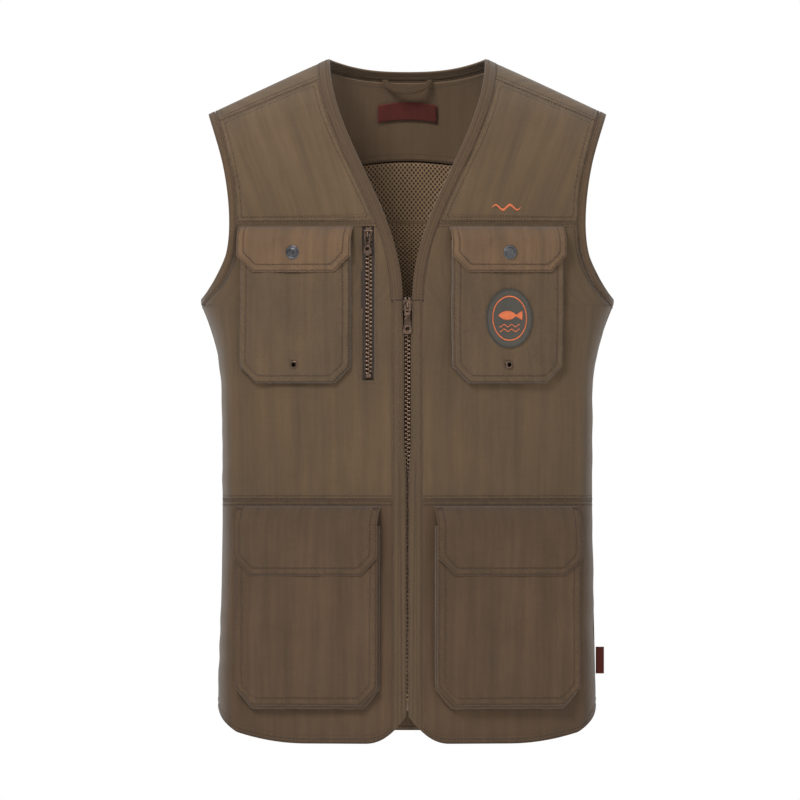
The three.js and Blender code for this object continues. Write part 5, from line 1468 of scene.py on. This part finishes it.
# ---------------------------------------------------------------- badge, embroidery and labels
def across_stitches(name, centres, heads, ups, lengths, body, material, radius=0.28):
    """Satin stitches: threads laid side by side across a line, one for each centre."""
    runs_c, runs_h = np.asarray(centres), np.asarray(heads)
    ups, lengths = np.asarray(ups), np.asarray(lengths)
    side = np.cross(runs_h, ups)
    along = np.array([-0.5, -0.34, 0.0, 0.34, 0.5])
    fat = np.array([0.5, 1.0, 1.0, 1.0, 0.5]) * radius
    dip = np.array([-0.5, 0.1, 0.35, 0.1, -0.5]) * radius
    turn = np.radians([45, 135, 225, 315])
    ring = np.stack([np.cos(turn), np.sin(turn)], -1)
    shape = (runs_c[:, None, None]
             + runs_h[:, None, None] * (along[None] * lengths[:, None])[:, :, None, None]
             + ups[:, None, None] * dip[None, :, None, None]
             + side[:, None, None] * (fat[:, None] * ring[:, 0])[None, :, :, None]
             + ups[:, None, None] * (fat[:, None] * ring[:, 1])[None, :, :, None])
    faces = [[r * 4 + k, r * 4 + (k + 1) % 4, (r + 1) * 4 + (k + 1) % 4, (r + 1) * 4 + k]
             for r in range(4) for k in range(4)] + [[3, 2, 1, 0], [16, 17, 18, 19]]
    faces = (np.array(faces)[None] + (np.arange(len(runs_c)) * 20)[:, None, None]).reshape(-1, 4)
    made = new_object(name, to_metres(shape.reshape(-1, 3)), faces, {}, MATERIALS[material])
    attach(made, body)
    return made


def satin(surface, normal, ends):
    """Centres, directions and lengths of threads between pairs of places on a surface."""
    a, b = surface(ends[:, 0], ends[:, 1]), surface(ends[:, 2], ends[:, 3])
    middle = (a + b) / 2
    way = b - a
    length = np.linalg.norm(way, axis=-1)
    way = way / np.maximum(length[:, None], 1e-9)
    return middle + normal * 0.35, way, np.broadcast_to(normal, middle.shape), length


def build_badge(side, front):
    """Oval badge with a stitched ring round a plain fish over two waves."""
    middle_z = CHEST_BOTTOM + 70
    normal = frame_normal(side)

    def ground(x, z):
        points = front(np.asarray(x), np.asarray(z))
        return points + normal * 1.0

    turn = np.linspace(0, 2 * math.pi, 73)
    reach = np.concatenate([np.linspace(0.02, 0.9, 14), [0.94, 0.97, 0.99, 1.0]])
    x = 26 * reach[None] * np.cos(turn)[:, None]
    z = middle_z + 32 * reach[None] * np.sin(turn)[:, None]
    points = ground(x, z)
    points = points - normal * (0.5 * (1 - rim_height(1 - reach, 0.04)))[None, :, None]
    normals = np.broadcast_to(normal, points.shape)
    weave = np.stack([x, z], -1) / 1000
    far = np.broadcast_to((1 - reach)[None] * 26 / 1000, x.shape)
    cloth_piece("chest_badge_cloth", points, normals, 0.8, MATERIALS["badge"], node="chest_badge",
                weave=weave,
                seam=np.stack([far, x / 1000], -1), wrap=True,
                flat=(52, 64, math.pi * 26 * 32))
    sheets = []
    # merrowed edge and the bright ring
    for a, b, wide, count, material in ((25.4, 31.4, 1.3, 330, "badge_thread"),
                                        (18.9, 23.6, 1.5, 250, "motif")):
        t = np.linspace(0, 2 * math.pi, count, endpoint=False)
        ends = np.stack([(a - wide / 2) * np.cos(t), middle_z + (b - wide / 2) * np.sin(t),
                         (a + wide / 2) * np.cos(t), middle_z + (b + wide / 2) * np.sin(t)], -1)
        sheets.append((material, satin(ground, normal, ends)))
    fish = []
    for x in np.arange(-12.5, 14.5, 0.5):
        body = 5.2 * max(0.0, 1 - ((x + 2.5) / 10.2) ** 2) ** 0.8
        tail = 0.5 + max(0.0, x - 6.4) * 0.62 if x > 6.2 else 0.0
        half = max(body, tail)
        if half > 0.3:
            fish.append([x, middle_z + 3 - half, x, middle_z + 3 + half])
    sheets.append(("motif", satin(ground, normal, np.array(fish))))
    for level in (-8.0, -13.0):
        x = np.arange(-13.0 - level / 6, 13.0 + level / 6, 0.5)
        z = middle_z + level + 1.3 * np.sin(x * 2 * math.pi / 8.5)
        sheets.append(("motif", satin(ground, normal, np.stack([x, z - 0.6, x, z + 0.6], -1))))
    for material in ("badge_thread", "motif"):
        parts = [s for m, s in sheets if m == material]
        joined = [np.concatenate([p[k] for p in parts]) for k in range(4)]
        across_stitches(f"chest_{material}", *joined, "vest_body", material)


def build_embroidery():
    """A short wave in bright thread on the left yoke, above the pocket."""
    def yoke(x, z):
        share = (z - CHEST_SEAM) / (ridge_height(x) - CHEST_SEAM)
        return roof(x, -np.degrees(np.arccos(np.clip(share, -1, 1))))

    x = np.arange(91.0, 122.0, 0.5)
    wave = 578.5 + 2.6 * np.sin((x - 91) * 2 * math.pi / 15.5)
    fat = 0.5 + 1.1 * np.sin((x - 91) / 31 * math.pi)
    ends = np.stack([x, wave - fat, x, wave + fat], -1)
    n = normals_of("roof", np.array(106.0), np.array(-85.0))
    across_stitches("yoke_wave", *satin(yoke, n, ends), "vest_body", "motif")


def build_labels():
    """Hanger loop, neck label and side label."""
    low, high = (np.array(v) * 1000 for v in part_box("hanger_loop"))
    middle_y, top_z = (low[1] + high[1]) / 2, high[2] + NECK_TOP
    turn = np.linspace(0, math.pi, 60)[:, None]
    inset = np.linspace(0, 6, 7)[None]
    x = -(27 - inset) * np.cos(turn)
    z = top_z - (16 - inset) * np.sin(turn)
    roll = 0.35 * np.sin(np.pi * inset / 6) + 0 * turn
    points = np.stack([x, middle_y - 0.8 - roll, z], -1)
    normals = np.broadcast_to(np.array([0.0, -1.0, 0.0]), points.shape)
    cloth_piece("hanger_loop_cloth", points, normals, 1.6, MATERIALS["band"], body="loop_body",
                node="hanger_loop", margins=(0, 0, 1, 1), flat=(10.2, 60, 612))
    runs = [(points[:, k], normals[:, k]) for k in (1, 5)]
    stitches("hanger_loop_stitches", runs, body="loop_body", pitch=2.2, length=1.6)
    angles = np.linspace(BACK_NECK_ANGLE + 19.6, BACK_NECK_ANGLE + 12.4, 12)
    x, a = np.meshgrid(np.linspace(-33, 33, steps(66)), angles)
    up = normals_of("roof", x, a)
    depth = LINING_DEPTH + LINING + 1.7
    back = roof(x, a) - up * depth
    cloth_piece("neck_label_cloth", back, -up, -0.8, MATERIALS["label"], node="neck_label")
    seen = -up
    frame_runs = [(back[1], seen[1]), (back[-2], seen[-2]), (back[:, 1], seen[:, 1]),
                  (back[:, -2], seen[:, -2])]
    stitches("neck_label_stitches", frame_runs, material="light_stitch", pitch=3.0, length=1.9, thick=0.7)
    low, high = (np.array(v) * 1000 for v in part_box("side_label"))
    z, x = np.meshgrid(np.linspace(low[2], high[2], 14) + NECK_TOP, np.linspace(low[0], high[0], 7))
    z, x = z.T, x.T
    curl = 0.5 * np.sin((z - z.min()) / 9) * (x - low[0]) / 9
    points = np.stack([x, np.full(x.shape, -0.8 + SIDE_DEPTH) + curl, z], -1)
    normals = np.broadcast_to(np.array([0.0, -1.0, 0.0]), points.shape)
    cloth_piece("side_label_cloth", points, normals, 1.5, MATERIALS["label"], node="side_label",
                flat=(10, 31, 310))


# ---------------------------------------------------------------- metal and zips
def begin(kind, **settings):
    """A new primitive in edit mode with nothing else selected."""
    if bpy.context.object and bpy.context.object.mode != "OBJECT":
        bpy.ops.object.mode_set(mode="OBJECT")
    bpy.ops.object.select_all(action="DESELECT")
    getattr(bpy.ops.mesh, f"primitive_{kind}_add")(**settings)
    bpy.ops.object.transform_apply(location=True, rotation=True, scale=True)
    made = bpy.context.object
    bpy.ops.object.mode_set(mode="EDIT")
    return made


def end(made):
    bpy.ops.mesh.select_all(action="SELECT")
    bpy.ops.mesh.remove_doubles(threshold=1e-6)
    bpy.ops.mesh.normals_make_consistent(inside=False)
    bpy.ops.object.mode_set(mode="OBJECT")
    return made


def choose(made, test):
    """Selects the faces that pass a test on their middle and normal."""
    bpy.ops.mesh.select_all(action="DESELECT")
    bpy.ops.object.mode_set(mode="OBJECT")
    for face in made.data.polygons:
        face.select = bool(test(face.center, face.normal))
    bpy.ops.object.mode_set(mode="EDIT")
    bpy.ops.mesh.select_mode(type="FACE")


def soften(made, width, segments=2, angle=30):
    """Rounds the edges with an applied bevel and shades by angle."""
    bpy.ops.object.select_all(action="DESELECT")
    made.select_set(True)
    bpy.context.view_layer.objects.active = made
    rounded = made.modifiers.new("rounded edges", "BEVEL")
    rounded.width = width
    rounded.segments = segments
    rounded.limit_method = "ANGLE"
    rounded.angle_limit = math.radians(angle)
    bpy.ops.object.modifier_apply(modifier=rounded.name)
    bpy.ops.object.shade_smooth_by_angle(angle=math.radians(40))
    return made


def place_piece(made, name, material, body, node, side=None, distance=0.0, out=0.0, z=0.0, slot=None):
    """Moves a piece's mesh from the origin to its place on a front half, or on the zip's line."""
    points = np.empty(len(made.data.vertices) * 3)
    made.data.vertices.foreach_get("co", points)
    points = points.reshape(-1, 3) * 1000
    if side is None:
        placed = points + np.array([distance, -out, z])
    else:
        placed = front_frame(side, distance, points[:, 0], out - points[:, 1], points[:, 2] + z)
    made.data.vertices.foreach_set("co", to_metres(placed).ravel())
    made.data.update()
    made.name = name
    made.data.name = name
    made.data.materials.clear()
    made.data.materials.append(MATERIALS[material])
    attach(made, body)
    if node:
        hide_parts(node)
    return made


def turned(profile, sides=32):
    """A round piece facing -Y, drawn out step by step: radius and distance out, in millimetres."""
    radius, out = profile[0]
    made = begin("circle", vertices=sides, radius=radius / 1000, fill_type="NGON",
                 rotation=(math.pi / 2, 0, 0),
                 location=(0, -out / 1000, 0))
    bpy.ops.mesh.select_all(action="SELECT")
    for wide, far in profile[1:]:
        bpy.ops.mesh.extrude_region_move(TRANSFORM_OT_translate={"value": (0, -(far - out) / 1000, 0)})
        bpy.ops.transform.resize(value=(wide / radius, 1, wide / radius), center_override=(0, -far / 1000, 0))
        radius, out = wide, far
    return end(made)


def rolled_ring(radius, wide, high, sides=32):
    """A rolled ring facing -Y, spun from an oval section."""
    made = begin("circle", vertices=10, radius=0.001, fill_type="NOTHING", location=(radius / 1000, 0, 0))
    bpy.ops.mesh.select_all(action="SELECT")
    bpy.ops.transform.resize(value=(wide / 2, high / 2, 1), center_override=(radius / 1000, 0, 0))
    bpy.ops.mesh.spin(steps=sides, angle=2 * math.pi, center=(0, 0, 0), axis=(0, 1, 0))
    return end(made)


def join(pieces):
    bpy.ops.object.select_all(action="DESELECT")
    for piece in pieces:
        piece.select_set(True)
    bpy.context.view_layer.objects.active = pieces[0]
    bpy.ops.object.join()
    return pieces[0]


def build_studs():
    """Press studs of the chest flaps and the drain eyelets."""
    for side in ("right", "left"):
        distance = CHEST_CENTRES[side]
        snap = CHEST_FLAP_TOP - 28
        lift = float(plane_lift(side, distance, 0.0, snap))
        reach = CHEST_DEPTH + CHEST_ROOM
        body = f"chest_flap_body_{side}"
        cap = turned([(7.0, 0.0), (7.6, 0.35), (7.6, 0.9), (7.1, 1.35), (6.0, 1.55), (5.6, 1.3), (5.2, 1.3),
                      (4.8, 1.6), (3.0, 1.95), (1.2, 2.05), (0.3, 2.05)])
        soften(cap, 0.00012, 2, 25)
        place_piece(cap, f"snap_cap_{side}_metal", "gunmetal", body, f"snap_cap_{side}", side, distance,
                    reach + 1.75 + lift, snap, "gunmetal")
        socket = join([rolled_ring(4.9, 1.5, 1.3), rolled_ring(3.5, 0.8, 1.6)])
        place_piece(soften(socket, 0.0001, 1), f"snap_socket_{side}_metal", "gunmetal", body,
                    f"snap_socket_{side}", side, distance, reach - 1.0 + lift * 0.5, snap, "gunmetal")
        stud = turned([(5.2, 0.0), (5.2, 0.6), (4.6, 0.8), (2.1, 0.8), (2.0, 1.2), (2.6, 1.8), (2.5, 2.3),
                       (1.6, 2.6),
                       (0.3, 2.6)], 24)
        place_piece(soften(stud, 0.0001, 1), f"snap_stud_{side}_metal", "gunmetal", "vest_body",
                    f"snap_stud_{side}", side, distance, CHEST_DEPTH + 0.15 + lift, snap, "gunmetal")
        z = CHEST_BOTTOM + 20
        lift = float(plane_lift(side, distance, 0.0, z))
        ring = join([rolled_ring(3.1, 2.2, 1.3), rolled_ring(2.4, 0.7, 3.6)])
        place_piece(soften(ring, 0.0001, 1), f"drain_eyelet_{side}_metal", "brass", "vest_body",
                    f"drain_eyelet_{side}", side, distance, CHEST_DEPTH + 1.5 + lift, z, "dark_metal")


def model_tooth():
    """One cast zip tooth: a block on the tape with a narrower head and a dimple."""
    made = begin("cube", size=0.001, location=(0.0022, 0, 0))
    bpy.ops.mesh.select_all(action="SELECT")
    bpy.ops.transform.resize(value=(2.0, 2.0, 1.75), center_override=(0.0022, 0, 0))
    choose(made, lambda c, n: n.x < -0.5)
    bpy.ops.mesh.inset(thickness=0.00022)
    bpy.ops.mesh.extrude_region_move(TRANSFORM_OT_translate={"value": (-0.0009, 0, 0)})
    bpy.ops.transform.resize(value=(1, 0.9, 1.22), center_override=(0.0003, 0, 0))
    bpy.ops.mesh.extrude_region_move(TRANSFORM_OT_translate={"value": (-0.0008, 0, 0)})
    bpy.ops.transform.resize(value=(1, 0.7, 0.88), center_override=(-0.0005, 0, 0))
    choose(made, lambda c, n: n.x > 0.5)
    bpy.ops.mesh.extrude_region_move(TRANSFORM_OT_translate={"value": (0.0005, 0, 0)})
    bpy.ops.transform.resize(value=(1, 0.62, 0.8), center_override=(0.0037, 0, 0))
    end(made)
    bpy.ops.object.select_all(action="DESELECT")
    return soften(made, 0.00014, 1, 35)


def tooth_row(tooth, name, low, high, offset, hand, body, node, side=None, distance=0.0, out=0.0):
    """Copies of the tooth up one side of a chain, all in one mesh."""
    count = int((high - low - 1.7 - offset) // 4.4) + 1
    heights = low + offset + np.arange(count) * 4.4 + 0.85
    base = np.empty(len(tooth.data.vertices) * 3)
    tooth.data.vertices.foreach_get("co", base)
    base = base.reshape(-1, 3) * 1000 * np.array([hand, 1, 1])
    points = np.concatenate([base + np.array([0, 0, h]) for h in heights])
    faces = []
    for k in range(count):
        for face in tooth.data.polygons:
            order = list(face.vertices) if hand > 0 else list(face.vertices)[::-1]
            faces.append([v + k * len(base) for v in order])
    mesh = bpy.data.meshes.new(name)
    mesh.from_pydata((points / 1000).tolist(), [], faces)
    made = bpy.data.objects.new(name, mesh)
    bpy.context.scene.collection.objects.link(made)
    place_piece(made, name, "brass", body, node, side, distance, out, 0.0, "dark_metal")
    mesh.shade_smooth()
    return made


def model_slider():
    """Slider with its top at the origin: two tapering plates joined by side lips, and the chain's
    channel between them."""
    parts = []
    for face in (-1, 1):
        plate = begin("cube", size=0.001, location=(0, face * 0.0018, -0.0055))
        bpy.ops.mesh.select_all(action="SELECT")
        bpy.ops.transform.resize(value=(9.2, 1.0, 11), center_override=(0, face * 0.0018, -0.0055))
        bpy.ops.mesh.subdivide(number_cuts=4)
        choose(plate, lambda c, n: c.z < -0.0075)
        bpy.ops.transform.resize(value=(0.8, 1, 1), center_override=(0, face * 0.0018, -0.0095))
        choose(plate, lambda c, n: abs(c.x) < 0.0014 and n.y * face > 0.5 and -0.009 < c.z < -0.002)
        bpy.ops.mesh.inset(thickness=0.0004)
        bpy.ops.transform.translate(value=(0, face * 0.0003, 0))
        parts.append(soften(end(plate), 0.0003, 2, 50))
    for hand in (-1, 1):
        lip = begin("cube", size=0.001, location=(hand * 0.00425, 0, -0.0052))
        bpy.ops.mesh.select_all(action="SELECT")
        bpy.ops.transform.resize(value=(0.7, 4.2, 10.2), center_override=(hand * 0.00425, 0, -0.0052))
        choose(lip, lambda c, n: abs(n.x) > 0.5)
        bpy.ops.mesh.subdivide(number_cuts=2)
        parts.append(soften(end(lip), 0.00018, 2, 50))
    return parts


def model_bridge(height):
    """Bridge over the pull: half a flattened ring on the front plate."""
    made = begin("torus", major_radius=0.0033, minor_radius=0.00085, major_segments=36, minor_segments=12,
                 rotation=(0, math.pi / 2, 0), location=(0, -0.0022, -0.005))
    bpy.ops.mesh.select_all(action="SELECT")
    bpy.ops.mesh.bisect(plane_co=(0, -0.0022, -0.005), plane_no=(0, 1, 0), clear_outer=True, use_fill=True)
    bpy.ops.mesh.select_all(action="SELECT")
    bpy.ops.transform.resize(value=(1.25, (height - 0.05) / 4.15, 1.0), center_override=(0, -0.0022, -0.005))
    end(made)
    bpy.ops.object.shade_smooth_by_angle(angle=math.radians(50))
    return made


def model_pull(node):
    """The pull, rounded from its own outline; the rolled rim round its hole is made apart by eye_rim."""
    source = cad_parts[node]
    mesh = source.data.copy()
    made = bpy.data.objects.new("pull", mesh)
    bpy.context.scene.collection.objects.link(made)
    bpy.ops.object.select_all(action="DESELECT")
    made.select_set(True)
    bpy.context.view_layer.objects.active = made
    bpy.ops.object.mode_set(mode="EDIT")
    bpy.ops.mesh.select_all(action="SELECT")
    bpy.ops.mesh.remove_doubles(threshold=1e-5)
    bpy.ops.mesh.dissolve_limited(angle_limit=math.radians(2))
    bpy.ops.object.mode_set(mode="OBJECT")
    return soften(made, sizes().metal_edge, 3, 30)


def rounded_copy(node, name, material, body):
    made = model_pull(node)
    made.modifiers.clear()
    made.name = name
    made.data.name = name
    made.data.materials.clear()
    made.data.materials.append(MATERIALS[material])
    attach(made, body)
    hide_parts(node)
    return made


def eye_rim(length):
    made = begin("torus", major_radius=0.0029, minor_radius=0.00062, major_segments=40, minor_segments=10,
                 rotation=(math.pi / 2, 0, 0), location=(0, 0, -(length - 5.5) / 1000))
    bpy.ops.mesh.select_all(action="SELECT")
    bpy.ops.transform.resize(value=(1.02, 1.25, 1.12), center_override=(0, 0, -(length - 5.5) / 1000))
    end(made)
    bpy.ops.object.shade_smooth_by_angle(angle=math.radians(50))
    return made


def build_main_zip():
    """Teeth, slider, pull, stops, box and pin of the front zip, and the finish of its tapes."""
    low, top = 57.0, ZIP_TOP - 6
    tooth = model_tooth()
    for side in ("right", "left"):
        tooth_row(tooth, f"main_zip_teeth_{side}_metal", low, top, 2.2 if side == "left" else 0.0,
                  SIDES[side],
                  "vest_body", f"main_zip_teeth_{side}", out=ZIP_DEPTH)
        rounded_copy(f"main_zip_top_stop_{side}", f"main_zip_top_stop_{side}_metal", "brass", "vest_body")
    bpy.data.objects.remove(tooth)
    slider = join(model_slider() + [model_bridge(4.8)])
    place_piece(slider, "main_zip_slider_metal", "brass", "main_slider", "main_zip_slider", out=ZIP_DEPTH,
                z=ZIP_TOP, slot="dark_metal")
    pivot_out = ZIP_DEPTH + 2.3 + 4.8 - 2.0
    rounded_copy("main_zip_pull", "main_zip_pull_metal", "brass", "main_pull")
    place_piece(eye_rim(31), "main_zip_pull_rim", "brass", "main_pull", None, out=pivot_out, z=ZIP_TOP - 5)
    rounded_copy("main_zip_box", "main_zip_box_metal", "brass", "vest_body")
    rounded_copy("main_zip_pin", "main_zip_pin_metal", "brass", "vest_body")
    for side in ("right", "left"):
        finish_node(f"main_zip_tape_{side}", "tape")


def finish_node(node, material):
    """A procedural finish on a CAD node whose shape is right."""
    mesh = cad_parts[node].data
    mesh.materials.clear()
    mesh.materials.append(MATERIALS[material])


def build_chest_zip():
    """The zip of the right chest and the bag behind it."""
    top, low = CHEST_SEAM - 8, WINDOW[2] + 3
    where = {"side": "right", "distance": CHEST_ZIP_AT, "out": -3.2}
    tooth = model_tooth()
    for side in ("right", "left"):
        tooth_row(tooth, f"chest_zip_teeth_{side}_metal", low + 4, top - 6, 2.2 if side == "left" else 0.0,
                  SIDES[side], "vest_body", f"chest_zip_teeth_{side}", **where)
        finish_node(f"chest_zip_tape_{side}", "tape")
    bpy.data.objects.remove(tooth)
    slider = join(model_slider() + [model_bridge(3.9)])
    place_piece(slider, "chest_zip_slider_metal", "brass", "chest_slider", "chest_zip_slider", z=top,
                slot="dark_metal", **where)
    rounded_copy("chest_zip_pull", "chest_zip_pull_metal", "brass", "chest_pull")
    place_piece(eye_rim(21), "chest_zip_pull_rim", "brass", "chest_pull", None, "right", CHEST_ZIP_AT,
                -3.2 + 2.3 + 3.9 - 2.0, top - 5)
    rounded_copy("chest_zip_bottom_stop", "chest_zip_bottom_stop_metal", "brass", "vest_body")
    rounded_copy("chest_zip_top_stop", "chest_zip_top_stop_metal", "brass", "vest_body")
    bag_top = CHEST_SEAM - 6
    x, z = outline_grid(118, bag_top, bag_top - 178, 16)
    away = outline_distance(x, z, 118, bag_top - 178, 16)
    sag = 1.2 * smooth(away, 4, 30) * (1 + waves(x, z, 141, 90, 40, 10))
    points = front_frame("right", CHEST_ZIP_AT, x - 43, -6.0 - sag, z)
    normals = grid_normals(points, np.broadcast_to(frame_normal("right"), points.shape))
    cloth_piece("chest_zip_bag_cloth", points, normals, 1.2, MATERIALS["facing"], node="chest_zip_bag",
                weave=np.stack([x, z], -1) / 1000, seam=seam_of(away, x, z))


# ---------------------------------------------------------------- stage
def build_stage():
    """Pale floor, even soft light and the camera."""
    scene = bpy.context.scene
    scene.view_settings.view_transform = "Standard"
    floor = begin("plane", size=24.0, location=(0, 0, -1.35))
    bpy.ops.mesh.select_all(action="SELECT")
    bpy.ops.mesh.subdivide(number_cuts=3)
    end(floor)
    floor.name = "floor"
    material, g, shader = shader_base("pale_floor", 0.9)
    shader.inputs["Emission Color"].default_value = (1, 1, 1, 1)
    shader.inputs["Emission Strength"].default_value = 0.42
    place = g.node("ShaderNodeTexCoord").outputs["Object"]
    tone = g.mapped(g.noise(place, 2.0), 0.3, 0.7, 0, 1)
    g.tree.links.new(mix(g, tone, (0.86, 0.86, 0.85, 1), (0.9, 0.9, 0.89, 1)), shader.inputs["Base Color"])
    floor.data.materials.append(material)
    world = bpy.data.worlds.new("studio")
    scene.world = world
    world.use_nodes = True
    g = Graph(world.node_tree)
    path = g.node("ShaderNodeLightPath")
    strength = g.mapped(path.outputs["Is Camera Ray"], 0, 1, 0.42, 1.0)
    ground = g.node("ShaderNodeBackground", {"Color": (1, 1, 1, 1), "Strength": strength})
    out = g.node("ShaderNodeOutputWorld")
    g.tree.links.new(ground.outputs[0], out.inputs[0])
    for name, place, size, power in (
            ("key", (-1.3, -2.5, 1.9), 1.0, 96.0), ("fill", (1.9, -2.8, 0.3), 2.2, 24.0),
            ("top", (0.0, 0.5, 2.4), 1.6, 34.0), ("back", (0.6, 3.2, 0.9), 2.2, 34.0)):
        light = bpy.data.lights.new(name, "AREA")
        light.energy = power
        light.size = size
        lamp = bpy.data.objects.new(name, light)
        scene.collection.objects.link(lamp)
        lamp.location = place
        lamp.visible_camera = False
        aim = np.array([0, 0, -0.38]) - np.array(place)
        lamp.rotation_euler = (math.acos(-aim[2] / np.linalg.norm(aim)), 0,
                               math.atan2(aim[1], aim[0]) - math.pi / 2)
    camera = bpy.data.cameras.new("camera")
    camera.lens = 800
    camera.sensor_width = 36
    camera.clip_end = 100
    viewer = bpy.data.objects.new("camera", camera)
    scene.collection.objects.link(viewer)
    viewer.location = (-0.008, -0.09 - 0.8616 * 800 / 36, -0.369)
    viewer.rotation_euler = (math.pi / 2, 0, 0)
    scene.camera = viewer


# ---------------------------------------------------------------- operators and panel
class VEST_OT_body_panels(bpy.types.Operator):
    """Build the skirts, chests, yokes and back of the vest"""
    bl_idname = "vest.body_panels"
    bl_label = "Body panels"

    def execute(self, context):
        build_body_panels()
        return {"FINISHED"}


class VEST_OT_inside(bpy.types.Operator):
    """Build the neck facing and the net lining"""
    bl_idname = "vest.inside"
    bl_label = "Facing and lining"

    def execute(self, context):
        build_inside()
        return {"FINISHED"}


class VEST_OT_bindings(bpy.types.Operator):
    """Build the neck and armhole bindings, the plackets and the seam stitches"""
    bl_idname = "vest.bindings"
    bl_label = "Bindings and seams"

    def execute(self, context):
        build_bindings()
        build_seams()
        return {"FINISHED"}


class VEST_OT_chest_pockets(bpy.types.Operator):
    """Build the chest pockets, their flaps and the badge"""
    bl_idname = "vest.chest_pockets"
    bl_label = "Chest pockets"

    def execute(self, context):
        build_chest_pockets()
        return {"FINISHED"}


class VEST_OT_lower_pockets(bpy.types.Operator):
    """Build the lower pockets, their gussets, flaps and tapes"""
    bl_idname = "vest.lower_pockets"
    bl_label = "Lower pockets"

    def execute(self, context):
        build_lower_pockets()
        return {"FINISHED"}


class VEST_OT_studs(bpy.types.Operator):
    """Build the press studs and the eyelets"""
    bl_idname = "vest.studs"
    bl_label = "Studs and eyelets"

    def execute(self, context):
        build_studs()
        return {"FINISHED"}


class VEST_OT_main_zip(bpy.types.Operator):
    """Build the front zip"""
    bl_idname = "vest.main_zip"
    bl_label = "Front zip"

    def execute(self, context):
        build_main_zip()
        return {"FINISHED"}


class VEST_OT_chest_zip(bpy.types.Operator):
    """Build the chest zip and its bag"""
    bl_idname = "vest.chest_zip"
    bl_label = "Chest zip"

    def execute(self, context):
        build_chest_zip()
        return {"FINISHED"}


class VEST_OT_labels(bpy.types.Operator):
    """Build the hanger loop, the labels and the embroidery"""
    bl_idname = "vest.labels"
    bl_label = "Loop, labels and embroidery"

    def execute(self, context):
        build_labels()
        build_embroidery()
        return {"FINISHED"}


class VEST_OT_stage(bpy.types.Operator):
    """Build the floor, the lights and the camera"""
    bl_idname = "vest.stage"
    bl_label = "Stage"

    def execute(self, context):
        build_stage()
        return {"FINISHED"}


STEPS = (VEST_OT_stage, VEST_OT_body_panels, VEST_OT_inside, VEST_OT_bindings, VEST_OT_chest_pockets,
         VEST_OT_lower_pockets, VEST_OT_studs, VEST_OT_main_zip, VEST_OT_chest_zip, VEST_OT_labels)


class VEST_PT_panel(bpy.types.Panel):
    """Lists the steps that build the vest"""
    bl_label = "Fishing vest"
    bl_idname = "VEST_PT_panel"
    bl_space_type = "VIEW_3D"
    bl_region_type = "UI"
    bl_category = "Vest"

    def draw(self, context):
        for step in STEPS:
            self.layout.operator(step.bl_idname)
        for group_of in (context.scene.vest_sizes, context.scene.vest_colours):
            for key in group_of.__annotations__:
                self.layout.prop(group_of, key)


CLASSES = (VestSizes, VestColours, *STEPS, VEST_PT_panel)


def register():
    for cls in CLASSES:
        bpy.utils.register_class(cls)
    bpy.types.Scene.vest_sizes = bpy.props.PointerProperty(type=VestSizes)
    bpy.types.Scene.vest_colours = bpy.props.PointerProperty(type=VestColours)


def unregister():
    del bpy.types.Scene.vest_colours
    del bpy.types.Scene.vest_sizes
    for cls in reversed(CLASSES):
        bpy.utils.unregister_class(cls)


def main():
    register()
    make_materials(colours())
    for operate in (bpy.ops.vest.stage, bpy.ops.vest.body_panels, bpy.ops.vest.inside, bpy.ops.vest.bindings,
                    bpy.ops.vest.chest_pockets, bpy.ops.vest.lower_pockets, bpy.ops.vest.studs,
                    bpy.ops.vest.main_zip, bpy.ops.vest.chest_zip, bpy.ops.vest.labels):
        operate()


if __name__ == "__main__":
    main()
